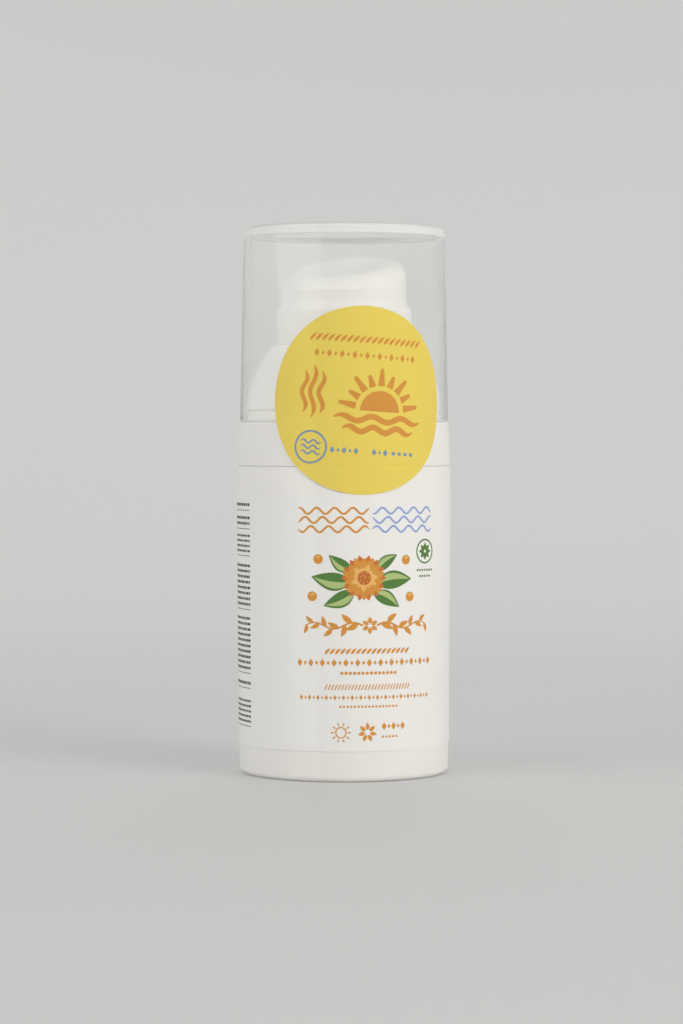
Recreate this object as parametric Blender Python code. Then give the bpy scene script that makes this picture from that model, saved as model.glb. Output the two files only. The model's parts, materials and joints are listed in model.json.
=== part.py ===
# Airless pump bottle for sun milk, with a press head, a domed shoulder collar and a clear overcap.
# Lengths are in metres, +Z is up. The bottle stands on z = 0, its axis is Z and its label faces -Y.
import math

import bmesh
import bpy
from mathutils import Matrix, Vector

MM = 0.001

# Facets round a turned piece, and steps in its rounded corners and curves.
WIDE_SEGMENTS = 40
SLIM_SEGMENTS = 24
CORNER_STEPS = 3
DOME_STEPS = 6
FILM_COLUMNS = 48
SEAL_SPOKES = 32
SEAL_RINGS = 8

# Room between neighbours: seated pieces, sliding or press fits, and thin films on what carries them.
FIT_GAP = 0.3 * MM
SLIDE_GAP = 0.15 * MM
FILM_GAP = 0.12 * MM
WELD = 0.001 * MM
OVERRUN = 1.0 * MM

# Bottle: a drafted outer wall, a thick wall to the bore, a foot ring and a vent in the floor.
BODY_RADIUS = 18.0 * MM
BODY_DRAFT = 0.35 * MM
BODY_HEIGHT = 51.7 * MM
BODY_WALL = 2.7 * MM
FLOOR_THICKNESS = 1.6 * MM
FOOT_WIDTH = 2.8 * MM
FOOT_ROUNDING = 1.0 * MM
FOOT_LIFT = 0.8 * MM
VENT_RADIUS = 0.8 * MM

# Neck of the bottle, which the collar goes over and the pump goes into.
NECK_SETBACK = 1.3 * MM
NECK_HEIGHT = 6.2 * MM
NECK_ROUNDING = 0.3 * MM
NECK_BEAD = 0.14 * MM
BEAD_HALF_HEIGHT = 0.6 * MM
BEAD_RISE = 3.6 * MM
MOUTH_DEPTH = 1.7 * MM
MOUTH_WALL_SHARE = 0.55

# Pump housing: a plug that closes the bore, and the pump chamber with its intake.
PLUG_DEPTH = 5.2 * MM
PLUG_WALL = 1.5 * MM
PLATE_THICKNESS = 1.2 * MM
FLANGE_THICKNESS = 0.8 * MM
SEAL_GROOVE_DEPTH = 0.8 * MM
SEAL_GROOVE_HEIGHT = 1.6 * MM
SEAL_GROOVE_DROP = 1.6 * MM
CHAMBER_RADIUS = 4.6 * MM
CHAMBER_WALL = 1.0 * MM
CHAMBER_DROP = 4.1 * MM
CHAMBER_BEAD = 0.15 * MM
CHAMBER_BEAD_DROP = 1.5 * MM
INTAKE_RADIUS = 1.1 * MM
INTAKE_WALL = 1.15 * MM
INTAKE_LENGTH = 0.8 * MM

# Inlet valve: a ball on a conical seat, in a pocket with a snap lip.
BALL_RADIUS = 1.6 * MM
BALL_ROOM = 0.25 * MM
BALL_LIFT = 0.6 * MM
SEAT_RISE = 0.8 * MM
LIP_BITE = 0.2 * MM
LIP_HEIGHT = 0.4 * MM

# Piston, stem and valve rod. The stroke is the travel of the head.
STROKE = 5.0 * MM
PISTON_SLIP = 0.9 * MM
PISTON_HEIGHT = 4.1 * MM
PISTON_HUB = 0.55 * MM
PISTON_LIP_HEIGHT = 0.7 * MM
PISTON_LIP_SHARE = 0.42
STEM_RADIUS = 2.6 * MM
STEM_BORE = 1.3 * MM
STEM_SHOULDER = 1.1 * MM
STEM_SHOULDER_HEIGHT = 1.4 * MM
ROD_LENGTH = 5.0 * MM
ROD_HEAD = 0.8 * MM
ROD_HEAD_HEIGHT = 1.2 * MM
PORT_WIDTH = 0.9 * MM
PORT_HEIGHT = 1.5 * MM

# Chamber cover, which keeps the piston in and carries the return spring.
COVER_THICKNESS = 1.2 * MM
COVER_WALL = 0.7 * MM
COVER_SKIRT = 3.7 * MM
COVER_ROUNDING = 0.3 * MM
SPRING_WIRE = 0.4 * MM
SPRING_LENGTH = 12.7 * MM
SPRING_ACTIVE_TURNS = 5
SPRING_END_TURNS = 1
SPRING_END_GAP = 0.45 * MM
SPRING_POINTS_A_TURN = 10

# Shoulder collar: a band over the neck, a ledge and spigot for the overcap, a groove and the dome round the head.
COLLAR_SETBACK = 0.35 * MM
COLLAR_BAND_DRAFT = 0.33 * MM
COLLAR_LEDGE = 1.0 * MM
COLLAR_ROUNDING = 0.3 * MM
COLLAR_SPIGOT = 1.2 * MM
COLLAR_GROOVE_HEIGHT = 0.8 * MM
COLLAR_GROOVE_DEPTH = 0.45 * MM
COLLAR_WALL = 1.2 * MM
SNAP_SKIRT_WALL = 1.1 * MM
DOME_INSET = 4.95 * MM
DOME_HEIGHT = 10.9 * MM
DOME_RIM = 0.75 * MM
DOME_RIM_ROUNDING = 0.25 * MM
GUIDE_GAP = 0.35 * MM
GUIDE_DEPTH = 3.6 * MM

# Press head: a wide skirt in the collar, a narrower grip, and a rounded top that slopes up to the nozzle.
SKIRT_SHOWN = 5.7 * MM
SKIRT_HIDDEN = 5.1 * MM
GRIP_INSET = 0.9 * MM
FLARE_HEIGHT = 1.6 * MM
GRIP_HEIGHT = 3.1 * MM
TOP_ROUNDING = 3.0 * MM
DISH_DEPTH = 0.6 * MM
HEAD_WALL = 1.2 * MM
TOP_WALL = 2.1 * MM
TOP_SLOPE = 0.26
SLOPE_FOOT = 1.1 * MM
SLOPE_HEIGHT = 3.5 * MM
SOCKET_WALL = 1.25 * MM
SOCKET_DEPTH = 10.4 * MM
SPRING_LEDGE = 0.5 * MM
OUTLET_RADIUS = 1.0 * MM
OUTLET_WALL = 1.3 * MM
OUTLET_RISE = 2.5 * MM
NOZZLE_RADIUS = 1.6 * MM
NOZZLE_LENGTH = 2.6 * MM
NOZZLE_PROUD = 0.3 * MM
NOZZLE_ORIFICE = 0.55 * MM
HEAD_TURN = math.radians(141.0)

# Overcap: a drafted wall from the collar's ledge up to a flat top.
CAP_DRAFT = 0.7 * MM
CAP_WALL = 1.12 * MM
CAP_HEADROOM = 2.6 * MM
CAP_TOP_THICKNESS = 1.7 * MM
CAP_ROUNDING = 0.9 * MM
GATE_DIMPLE_RADIUS = 2.4 * MM
GATE_DIMPLE_DEPTH = 0.25 * MM
GATE_NUB_RADIUS = 0.7 * MM

# Follower piston, with a well that takes the intake at the end of its travel.
FOLLOWER_WEB = 1.2 * MM
FOLLOWER_LIP = 0.65 * MM
FOLLOWER_LIP_REACH = 2.2 * MM
FOLLOWER_LIP_EDGE = 0.5 * MM
FOLLOWER_WALL = 1.2 * MM
WELL_ROOM = 0.9 * MM

# Films: the wrap label on the bottle, and the round seal that bridges overcap, collar band and bottle.
FILM_THICKNESS = 0.12 * MM
LABEL_MARGIN = 5.1 * MM
LABEL_SEAM = 1.0 * MM
SEAL_RADIUS = 15.45 * MM
SEAL_RISE = 11.0 * MM
SEAL_TURN = math.radians(-4.7)

# Levels and radii that several pieces share.
BORE_RADIUS = BODY_RADIUS - BODY_WALL
NECK_RADIUS = BODY_RADIUS - NECK_SETBACK
MOUTH_RADIUS = NECK_RADIUS + (BORE_RADIUS - NECK_RADIUS) * MOUTH_WALL_SHARE
SEAT_Z = BODY_HEIGHT
RIM_Z = SEAT_Z + NECK_HEIGHT
MOUTH_Z = RIM_Z - MOUTH_DEPTH
FLOOR_Z = FOOT_LIFT + FLOOR_THICKNESS

FLANGE_Z = MOUTH_Z + FIT_GAP
PLATE_Z = FLANGE_Z - PLUG_DEPTH
PLUG_RADIUS = BORE_RADIUS - FIT_GAP
CHAMBER_OUTER = CHAMBER_RADIUS + CHAMBER_WALL
CHAMBER_FLOOR_Z = PLATE_Z - CHAMBER_DROP
POCKET_RADIUS = BALL_RADIUS + BALL_ROOM
POCKET_OUTER = POCKET_RADIUS + INTAKE_WALL
SEAT_FOOT_Z = CHAMBER_FLOOR_Z - BALL_RADIUS - SEAT_RISE + FIT_GAP
INTAKE_Z = SEAT_FOOT_Z - INTAKE_LENGTH
SEAT_SLANT = math.hypot(POCKET_RADIUS - INTAKE_RADIUS, SEAT_RISE)
BALL_Z = SEAT_FOOT_Z + (
    (BALL_RADIUS + SLIDE_GAP) * SEAT_SLANT - INTAKE_RADIUS * SEAT_RISE
) / (POCKET_RADIUS - INTAKE_RADIUS)
LIP_RADIUS = BALL_RADIUS - LIP_BITE
LIP_Z = BALL_Z + BALL_LIFT + math.sqrt(BALL_RADIUS**2 - (LIP_RADIUS - SLIDE_GAP) ** 2)
POCKET_TOP_Z = LIP_Z + LIP_HEIGHT

ROD_Z = POCKET_TOP_Z + STROKE + FIT_GAP
STEM_Z = ROD_Z + ROD_HEAD_HEIGHT + SLIDE_GAP
PISTON_Z = STEM_Z + SLIDE_GAP
PISTON_TOP_Z = PISTON_Z + PISTON_HEIGHT
SHOULDER_Z = PISTON_TOP_Z + PISTON_SLIP
CHAMBER_TOP_Z = SHOULDER_Z + STEM_SHOULDER_HEIGHT
COVER_Z = CHAMBER_TOP_Z + FIT_GAP
COVER_TOP_Z = COVER_Z + COVER_THICKNESS
COVER_RADIUS = CHAMBER_OUTER + FIT_GAP + COVER_WALL
SPRING_Z = COVER_TOP_Z + SLIDE_GAP
SPRING_TOP_Z = SPRING_Z + SPRING_LENGTH
SPRING_STOP_Z = SPRING_TOP_Z + SLIDE_GAP
SOCKET_RADIUS = STEM_RADIUS + SLIDE_GAP
SOCKET_OUTER = SOCKET_RADIUS + SOCKET_WALL
SOCKET_Z = COVER_TOP_Z + STROKE + FIT_GAP
SOCKET_TOP_Z = SOCKET_Z + SOCKET_DEPTH
SPRING_RADIUS = SOCKET_OUTER + FIT_GAP + SPRING_WIRE

COLLAR_Z = SEAT_Z + FIT_GAP
COLLAR_PLATE_Z = RIM_Z + FIT_GAP
LEDGE_Z = COLLAR_PLATE_Z + COLLAR_LEDGE
BAND_BORE_RADIUS = NECK_RADIUS + NECK_BEAD + SLIDE_GAP
BAND_TOP_RADIUS = BODY_RADIUS - COLLAR_BAND_DRAFT
SPIGOT_Z = LEDGE_Z + COLLAR_SPIGOT
DOME_Z = SPIGOT_Z + COLLAR_GROOVE_HEIGHT
DOME_TOP_Z = DOME_Z + DOME_HEIGHT
DOME_RADIUS = NECK_RADIUS - COLLAR_SETBACK
SKIRT_RADIUS = DOME_RADIUS - DOME_INSET
GUIDE_RADIUS = SKIRT_RADIUS + GUIDE_GAP
DOME_TOP_RADIUS = GUIDE_RADIUS + DOME_RIM

SKIRT_Z = DOME_TOP_Z - SKIRT_HIDDEN
FLARE_Z = DOME_TOP_Z + SKIRT_SHOWN
GRIP_RADIUS = SKIRT_RADIUS - GRIP_INSET
GRIP_Z = FLARE_Z + FLARE_HEIGHT
HEAD_TOP_Z = GRIP_Z + GRIP_HEIGHT + TOP_ROUNDING
SLOPE_Z = GRIP_Z + SLOPE_FOOT
OUTLET_Z = SOCKET_TOP_Z + OUTLET_RISE
# The highest point lies where the slope of the top meets the fall of its rounded edge.
PEAK_REACH = GRIP_RADIUS - TOP_ROUNDING + TOP_ROUNDING * TOP_SLOPE / math.hypot(1, TOP_SLOPE)
HEAD_PEAK_Z = HEAD_TOP_Z + PEAK_REACH * TOP_SLOPE
CAP_Z = LEDGE_Z + SLIDE_GAP
CAP_CEILING_Z = HEAD_PEAK_Z + CAP_HEADROOM
CAP_TOP_Z = CAP_CEILING_Z + CAP_TOP_THICKNESS
CAP_BORE_RADIUS = DOME_RADIUS + SLIDE_GAP
CAP_FOOT_RADIUS = CAP_BORE_RADIUS + CAP_WALL
CAP_TOP_RADIUS = CAP_FOOT_RADIUS - CAP_DRAFT

SEAL_Z = SEAT_Z + SEAL_RISE
LABEL_TOP_Z = SEAL_Z - SEAL_RADIUS - FILM_GAP


def clear_scene():
    for item in list(bpy.data.objects):
        bpy.data.objects.remove(item)


def plastic(name, color, roughness, metallic=0.0, transmission=0.0):
    material = bpy.data.materials.new(name)
    material.use_nodes = True
    shader = material.node_tree.nodes["Principled BSDF"]
    shader.inputs["Base Color"].default_value = (*color, 1.0)
    shader.inputs["Roughness"].default_value = roughness
    shader.inputs["Metallic"].default_value = metallic
    shader.inputs["Transmission Weight"].default_value = transmission
    return material


def corner(centre, radius, start, end, steps=CORNER_STEPS):
    # Points of a rounded corner, from one angle to the other, in degrees from the radial direction.
    points = []
    for step in range(steps + 1):
        angle = math.radians(start + (end - start) * step / steps)
        points.append((centre[0] + radius * math.cos(angle), centre[1] + radius * math.sin(angle)))
    return points


def place(name, bm, material, matrix=None):
    # Makes the finished mesh a smooth-shaded object of its own.
    bmesh.ops.remove_doubles(bm, verts=bm.verts, dist=WELD)
    bmesh.ops.recalc_face_normals(bm, faces=bm.faces)
    mesh = bpy.data.meshes.new(name)
    bm.to_mesh(mesh)
    bm.free()
    mesh.shade_smooth()
    mesh.set_sharp_from_angle(angle=math.radians(35))
    if material is not None:
        mesh.materials.append(material)
    item = bpy.data.objects.new(name, mesh)
    if matrix is not None:
        item.matrix_world = matrix
    bpy.context.scene.collection.objects.link(item)
    return item


def turned_mesh(outline, segments):
    # Turns an outline of (radius, height) points about Z. Points at radius 0 at both ends close it.
    bm = bmesh.new()
    verts = [bm.verts.new((radius, 0, height)) for radius, height in outline]
    edges = [bm.edges.new(pair) for pair in zip(verts, verts[1:])]
    if outline[0][0] > 0 or outline[-1][0] > 0:
        edges.append(bm.edges.new((verts[-1], verts[0])))
    bmesh.ops.spin(
        bm, geom=verts + edges, cent=(0, 0, 0), axis=(0, 0, 1), angle=math.tau, steps=segments
    )
    return bm


def turned(name, outline, segments, material, matrix=None):
    return place(name, turned_mesh(outline, segments), material, matrix)


def helper(item):
    # A cutter or an added lump, which a Boolean uses and nobody sees.
    item.hide_render = True
    item.display_type = "WIRE"
    return item


def boolean(item, other, operation):
    modifier = item.modifiers.new(other.name, "BOOLEAN")
    modifier.operation = operation
    modifier.object = helper(other)


def towards(turn, height):
    # Stands a turned piece's axis out level from the bottle's axis, at a turn from the front.
    aim = Vector((math.sin(turn), -math.cos(turn), 0))
    return Matrix.Translation((0, 0, height)) @ aim.to_track_quat("Z", "Y").to_matrix().to_4x4()


def tube(inner, outer, low, high):
    return [(inner, low), (outer, low), (outer, high), (inner, high)]


def rod(radius, low, high):
    return [(0, high), (radius, high), (radius, low), (0, low)]


def blended(points, height):
    # Radius at a height on an outline given from low to high.
    for (radius_a, low), (radius_b, high) in zip(points, points[1:]):
        if height <= high:
            share = max(0.0, (height - low) / (high - low))
            return radius_a + (radius_b - radius_a) * share
    return points[-1][0]


def outer_radius(height):
    # Outside of the closed bottle: the drafted body, the collar's band and the overcap.
    closed = [
        (BODY_RADIUS - BODY_DRAFT, 0),
        (BODY_RADIUS, SEAT_Z),
        (BODY_RADIUS, COLLAR_Z),
        (BAND_TOP_RADIUS, LEDGE_Z),
        (CAP_FOOT_RADIUS, CAP_Z),
        (CAP_TOP_RADIUS, CAP_TOP_Z),
    ]
    return blended(closed, height)


def bottle_body(material):
    foot_radius = BODY_RADIUS - BODY_DRAFT
    foot_inner = foot_radius - FOOT_WIDTH
    bead_z = SEAT_Z + BEAD_RISE
    outline = [(VENT_RADIUS, FLOOR_Z), (VENT_RADIUS, FOOT_LIFT), (foot_inner - FOOT_LIFT, FOOT_LIFT)]
    outline += [(foot_inner, 0)]
    outline += corner((foot_radius - FOOT_ROUNDING, FOOT_ROUNDING), FOOT_ROUNDING, -90, 0)
    outline += [
        (BODY_RADIUS, SEAT_Z),
        (NECK_RADIUS, SEAT_Z),
        (NECK_RADIUS, bead_z - BEAD_HALF_HEIGHT),
        (NECK_RADIUS + NECK_BEAD, bead_z),
        (NECK_RADIUS, bead_z + BEAD_HALF_HEIGHT),
    ]
    outline += corner((NECK_RADIUS - NECK_ROUNDING, RIM_Z - NECK_ROUNDING), NECK_ROUNDING, 0, 90)
    outline += [
        (MOUTH_RADIUS, RIM_Z),
        (MOUTH_RADIUS, MOUTH_Z),
        (BORE_RADIUS, MOUTH_Z),
        (BORE_RADIUS, FLOOR_Z),
    ]
    return turned("bottle_body", outline, WIDE_SEGMENTS, material)


def follower_piston(material):
    low = FLOOR_Z + FIT_GAP
    edge = BORE_RADIUS - SLIDE_GAP
    wall = edge - FOLLOWER_LIP
    inner = wall - FOLLOWER_WALL
    well_radius = CHAMBER_OUTER + WELL_ROOM
    well_floor = low + FOLLOWER_WEB
    deck = well_floor + (PLATE_Z - INTAKE_Z) + FIT_GAP + SLIDE_GAP
    outline = [
        (0, well_floor),
        (well_radius, well_floor),
        (well_radius, deck),
        (inner, deck),
        ((inner + wall) / 2, deck - FOLLOWER_LIP_REACH + FOLLOWER_LIP_EDGE),
        (edge - FOLLOWER_LIP_EDGE, deck),
        (edge, deck),
        (edge, deck - FOLLOWER_LIP_EDGE),
        (wall, deck - FOLLOWER_LIP_REACH),
        (wall, low + FOLLOWER_LIP_REACH),
        (edge, low + FOLLOWER_LIP_EDGE),
        (edge, low),
        (edge - FOLLOWER_LIP_EDGE, low),
        (inner, low + FOLLOWER_LIP_REACH),
        (inner, deck - FOLLOWER_WEB),
        (well_radius + FOLLOWER_WEB, deck - FOLLOWER_WEB),
        (well_radius + FOLLOWER_WEB, low),
        (0, low),
    ]
    return turned("follower_piston", outline, WIDE_SEGMENTS, material)


def pump_housing(material):
    flange_top = FLANGE_Z + FLANGE_THICKNESS
    plate_top = PLATE_Z + PLATE_THICKNESS
    plug_inner = PLUG_RADIUS - PLUG_WALL
    groove_radius = PLUG_RADIUS - SEAL_GROOVE_DEPTH
    groove_top = FLANGE_Z - SEAL_GROOVE_DROP
    bead_z = CHAMBER_TOP_Z - CHAMBER_BEAD_DROP
    chamber_bottom = CHAMBER_FLOOR_Z - CHAMBER_WALL
    outline = [
        (CHAMBER_RADIUS, CHAMBER_TOP_Z),
        (CHAMBER_OUTER, CHAMBER_TOP_Z),
        (CHAMBER_OUTER, bead_z + CHAMBER_BEAD),
        (CHAMBER_OUTER + CHAMBER_BEAD, bead_z),
        (CHAMBER_OUTER, bead_z - CHAMBER_BEAD),
        (CHAMBER_OUTER, plate_top),
        (plug_inner, plate_top),
        (plug_inner, flange_top),
        (MOUTH_RADIUS - FIT_GAP, flange_top),
        (MOUTH_RADIUS - FIT_GAP, FLANGE_Z),
        (PLUG_RADIUS, FLANGE_Z),
        (PLUG_RADIUS, groove_top),
        (groove_radius, groove_top),
        (groove_radius, groove_top - SEAL_GROOVE_HEIGHT),
        (PLUG_RADIUS, groove_top - SEAL_GROOVE_HEIGHT),
        (PLUG_RADIUS, PLATE_Z),
        (CHAMBER_OUTER, PLATE_Z),
        (CHAMBER_OUTER, chamber_bottom),
        (POCKET_OUTER, chamber_bottom),
        (POCKET_OUTER, INTAKE_Z),
        (INTAKE_RADIUS, INTAKE_Z),
        (INTAKE_RADIUS, SEAT_FOOT_Z),
        (POCKET_RADIUS, SEAT_FOOT_Z + SEAT_RISE),
        (POCKET_RADIUS, LIP_Z),
        (LIP_RADIUS, LIP_Z),
        (LIP_RADIUS, POCKET_TOP_Z),
        (POCKET_RADIUS, POCKET_TOP_Z),
        (POCKET_OUTER, LIP_Z),
        (POCKET_OUTER, CHAMBER_FLOOR_Z),
        (CHAMBER_RADIUS, CHAMBER_FLOOR_Z),
    ]
    return turned("pump_housing", outline, SLIM_SEGMENTS, material)


def neck_seal(material):
    groove_top = FLANGE_Z - SEAL_GROOVE_DROP
    outline = tube(
        PLUG_RADIUS - SEAL_GROOVE_DEPTH + SLIDE_GAP,
        BORE_RADIUS - SLIDE_GAP,
        groove_top - SEAL_GROOVE_HEIGHT + SLIDE_GAP,
        groove_top - SLIDE_GAP,
    )
    return turned("neck_seal", outline, WIDE_SEGMENTS, material)


def inlet_ball(material):
    bm = bmesh.new()
    bmesh.ops.create_uvsphere(
        bm, u_segments=SLIM_SEGMENTS, v_segments=SLIM_SEGMENTS // 2, radius=BALL_RADIUS
    )
    return place("inlet_ball", bm, material, Matrix.Translation((0, 0, BALL_Z)))


def pump_piston(material):
    hub_inner = STEM_RADIUS + SLIDE_GAP
    hub_outer = hub_inner + PISTON_HUB
    edge = CHAMBER_RADIUS - SLIDE_GAP
    lip_top = PISTON_TOP_Z - SLIDE_GAP
    lip_low = PISTON_Z + SLIDE_GAP
    lip_inner = edge - (edge - hub_outer) * PISTON_LIP_SHARE
    middle = (PISTON_Z + PISTON_TOP_Z) / 2
    outline = [
        (hub_inner, PISTON_Z),
        (hub_outer, PISTON_Z),
        (hub_outer, middle - SLIDE_GAP),
        (lip_inner, lip_low),
        (edge, lip_low),
        (edge, lip_low + PISTON_LIP_HEIGHT),
        (lip_inner, middle),
        (edge, lip_top - PISTON_LIP_HEIGHT),
        (edge, lip_top),
        (lip_inner, lip_top),
        (hub_outer, middle + SLIDE_GAP),
        (hub_outer, PISTON_TOP_Z),
        (hub_inner, PISTON_TOP_Z),
    ]
    return turned("pump_piston", outline, SLIM_SEGMENTS, material)


def pump_stem(material):
    top = SOCKET_TOP_Z - FIT_GAP
    shoulder_top = SHOULDER_Z + STEM_SHOULDER_HEIGHT
    outline = [
        (STEM_BORE, STEM_Z),
        (STEM_RADIUS, STEM_Z),
        (STEM_RADIUS, SHOULDER_Z),
        (STEM_RADIUS + STEM_SHOULDER, SHOULDER_Z),
        (STEM_RADIUS + STEM_SHOULDER, shoulder_top),
        (STEM_RADIUS, shoulder_top),
        (STEM_RADIUS, top),
        (STEM_BORE, top),
    ]
    stem = turned("pump_stem", outline, SLIM_SEGMENTS, material)
    bm = bmesh.new()
    bmesh.ops.create_cube(bm, size=1)
    span = 2 * (STEM_RADIUS + OVERRUN)
    size = Matrix.Diagonal((span, PORT_WIDTH, PORT_HEIGHT + OVERRUN, 1))
    bmesh.ops.transform(bm, matrix=size, verts=bm.verts)
    middle = STEM_Z + (PORT_HEIGHT - OVERRUN) / 2
    boolean(stem, place("stem_ports", bm, None, Matrix.Translation((0, 0, middle))), "DIFFERENCE")
    return stem


def valve_rod(material):
    shank = STEM_BORE - SLIDE_GAP
    head = STEM_RADIUS + ROD_HEAD
    head_top = ROD_Z + ROD_HEAD_HEIGHT
    outline = [(0, head_top + ROD_LENGTH), (shank, head_top + ROD_LENGTH), (shank, head_top)]
    outline += [(STEM_RADIUS, head_top), (head, (ROD_Z + head_top) / 2), (head, ROD_Z), (0, ROD_Z)]
    return turned("valve_rod", outline, SLIM_SEGMENTS, material)


def chamber_cover(material):
    skirt_inner = CHAMBER_OUTER + FIT_GAP
    skirt_z = COVER_Z - COVER_SKIRT
    outline = [(STEM_RADIUS + SLIDE_GAP, COVER_Z), (skirt_inner, COVER_Z), (skirt_inner, skirt_z)]
    outline += [(COVER_RADIUS, skirt_z)]
    outline += corner(
        (COVER_RADIUS - COVER_ROUNDING, COVER_TOP_Z - COVER_ROUNDING), COVER_ROUNDING, 0, 90
    )
    outline += [(STEM_RADIUS + SLIDE_GAP, COVER_TOP_Z)]
    return turned("chamber_cover", outline, SLIM_SEGMENTS, material)


def spring_path():
    # Coils open in the middle and closer at both ends, as one unbroken helix.
    turns = SPRING_ACTIVE_TURNS + 2 * SPRING_END_TURNS
    end_pitch = 2 * SPRING_WIRE + SPRING_END_GAP
    open_length = SPRING_LENGTH - 2 * SPRING_WIRE - 2 * SPRING_END_TURNS * end_pitch
    points = []
    for step in range(turns * SPRING_POINTS_A_TURN + 1):
        turn = step / SPRING_POINTS_A_TURN
        lower = min(turn, SPRING_END_TURNS)
        upper = max(0, turn - SPRING_END_TURNS - SPRING_ACTIVE_TURNS)
        opened = (turn - lower - upper) / SPRING_ACTIVE_TURNS
        height = SPRING_Z + SPRING_WIRE + (lower + upper) * end_pitch + opened * open_length
        angle = math.tau * turn
        points.append((SPRING_RADIUS * math.cos(angle), SPRING_RADIUS * math.sin(angle), height))
    return points


def least_gap(points, diameter, apart):
    # Smallest clear distance between stretches of the wire that are not neighbours along it.
    places = [Vector(point) for point in points]
    nearest = min(
        (a - b).length
        for index, a in enumerate(places)
        for b in places[index + apart :]
    )
    return nearest - diameter


def return_spring(material):
    points = spring_path()
    curve = bpy.data.curves.new("return_spring", "CURVE")
    curve.dimensions = "3D"
    curve.bevel_depth = SPRING_WIRE
    curve.bevel_resolution = 1
    curve.use_fill_caps = True
    spline = curve.splines.new("POLY")
    spline.points.add(len(points) - 1)
    for point, place_of in zip(spline.points, points):
        point.co = (*place_of, 1)
    curve.materials.append(material)
    item = bpy.data.objects.new("return_spring", curve)
    bpy.context.scene.collection.objects.link(item)
    gap = least_gap(points, 2 * SPRING_WIRE, SPRING_POINTS_A_TURN // 2)
    print(f"return_spring: least gap between coils {gap / MM:.2f} mm")
    return item


def dome_curve(foot_radius, foot_z, top_radius, top_z):
    # An ellipse about the axis, from its widest level up to the opening for the head.
    rise = (top_z - foot_z) / math.sqrt(1 - (top_radius / foot_radius) ** 2)
    points = []
    for step in range(DOME_STEPS + 1):
        angle = math.acos(top_radius / foot_radius) * step / DOME_STEPS
        points.append((foot_radius * math.cos(angle), foot_z + rise * math.sin(angle)))
    return points


def shoulder_collar(material):
    groove_radius = DOME_RADIUS - COLLAR_GROOVE_DEPTH
    skirt_outer = MOUTH_RADIUS - FIT_GAP
    skirt_inner = skirt_outer - SNAP_SKIRT_WALL
    skirt_z = FLANGE_Z + FLANGE_THICKNESS + FIT_GAP
    inner_radius = DOME_RADIUS - COLLAR_WALL
    lip_outer = GUIDE_RADIUS + DOME_RIM
    outline = [(skirt_inner, skirt_z), (skirt_outer, skirt_z), (skirt_outer, COLLAR_PLATE_Z)]
    outline += [(BAND_BORE_RADIUS, COLLAR_PLATE_Z), (BAND_BORE_RADIUS, COLLAR_Z)]
    outline += [(BODY_RADIUS, COLLAR_Z)]
    outline += corner(
        (BAND_TOP_RADIUS - COLLAR_ROUNDING, LEDGE_Z - COLLAR_ROUNDING), COLLAR_ROUNDING, 0, 90
    )
    outline += [(DOME_RADIUS, LEDGE_Z), (DOME_RADIUS, SPIGOT_Z)]
    outline += [(groove_radius, SPIGOT_Z), (groove_radius, DOME_Z)]
    outline += dome_curve(DOME_RADIUS, DOME_Z, DOME_TOP_RADIUS, DOME_TOP_Z - DOME_RIM_ROUNDING)
    outline += [
        (DOME_TOP_RADIUS - DOME_RIM_ROUNDING, DOME_TOP_Z),
        (GUIDE_RADIUS, DOME_TOP_Z),
        (GUIDE_RADIUS, DOME_TOP_Z - GUIDE_DEPTH),
        (lip_outer, DOME_TOP_Z - GUIDE_DEPTH),
    ]
    inside = dome_curve(inner_radius, DOME_Z, lip_outer, DOME_TOP_Z - COLLAR_WALL)
    outline += reversed(inside)
    outline += [(inner_radius, LEDGE_Z), (skirt_inner, LEDGE_Z)]
    return turned("shoulder_collar", outline, WIDE_SEGMENTS, material)


def head_outline():
    wall_inner = GRIP_RADIUS - HEAD_WALL
    flat_radius = GRIP_RADIUS - TOP_ROUNDING
    ceiling = HEAD_TOP_Z - TOP_WALL
    post_radius = SPRING_RADIUS + SPRING_WIRE + SPRING_LEDGE
    inner_corner = min(HEAD_WALL, (wall_inner - post_radius) / 2)
    dish_rim = flat_radius - DISH_DEPTH
    outline = []
    for step in range(CORNER_STEPS + 1):
        share = step / CORNER_STEPS
        outline.append((dish_rim * share, HEAD_TOP_Z - DISH_DEPTH * (1 - share**2)))
    outline += corner((flat_radius, HEAD_TOP_Z - TOP_ROUNDING), TOP_ROUNDING, 90, 0, DOME_STEPS)
    outline += [
        (GRIP_RADIUS, SLOPE_Z),
        (GRIP_RADIUS, GRIP_Z),
        (SKIRT_RADIUS, FLARE_Z),
        (SKIRT_RADIUS, SKIRT_Z),
        (SKIRT_RADIUS - HEAD_WALL, SKIRT_Z),
        (SKIRT_RADIUS - HEAD_WALL, FLARE_Z),
        (wall_inner, GRIP_Z),
        (wall_inner, SLOPE_Z),
        (wall_inner, ceiling - inner_corner),
        (wall_inner - inner_corner, ceiling),
        (post_radius, ceiling),
        (post_radius, SPRING_STOP_Z),
        (SOCKET_OUTER, SPRING_STOP_Z),
        (SOCKET_OUTER, SOCKET_Z),
        (SOCKET_RADIUS, SOCKET_Z),
        (SOCKET_RADIUS, SOCKET_TOP_Z),
        (STEM_BORE, SOCKET_TOP_Z),
        (STEM_BORE, OUTLET_Z + OUTLET_RADIUS / 2),
        (0, OUTLET_Z + OUTLET_RADIUS / 2),
    ]
    return outline


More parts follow.
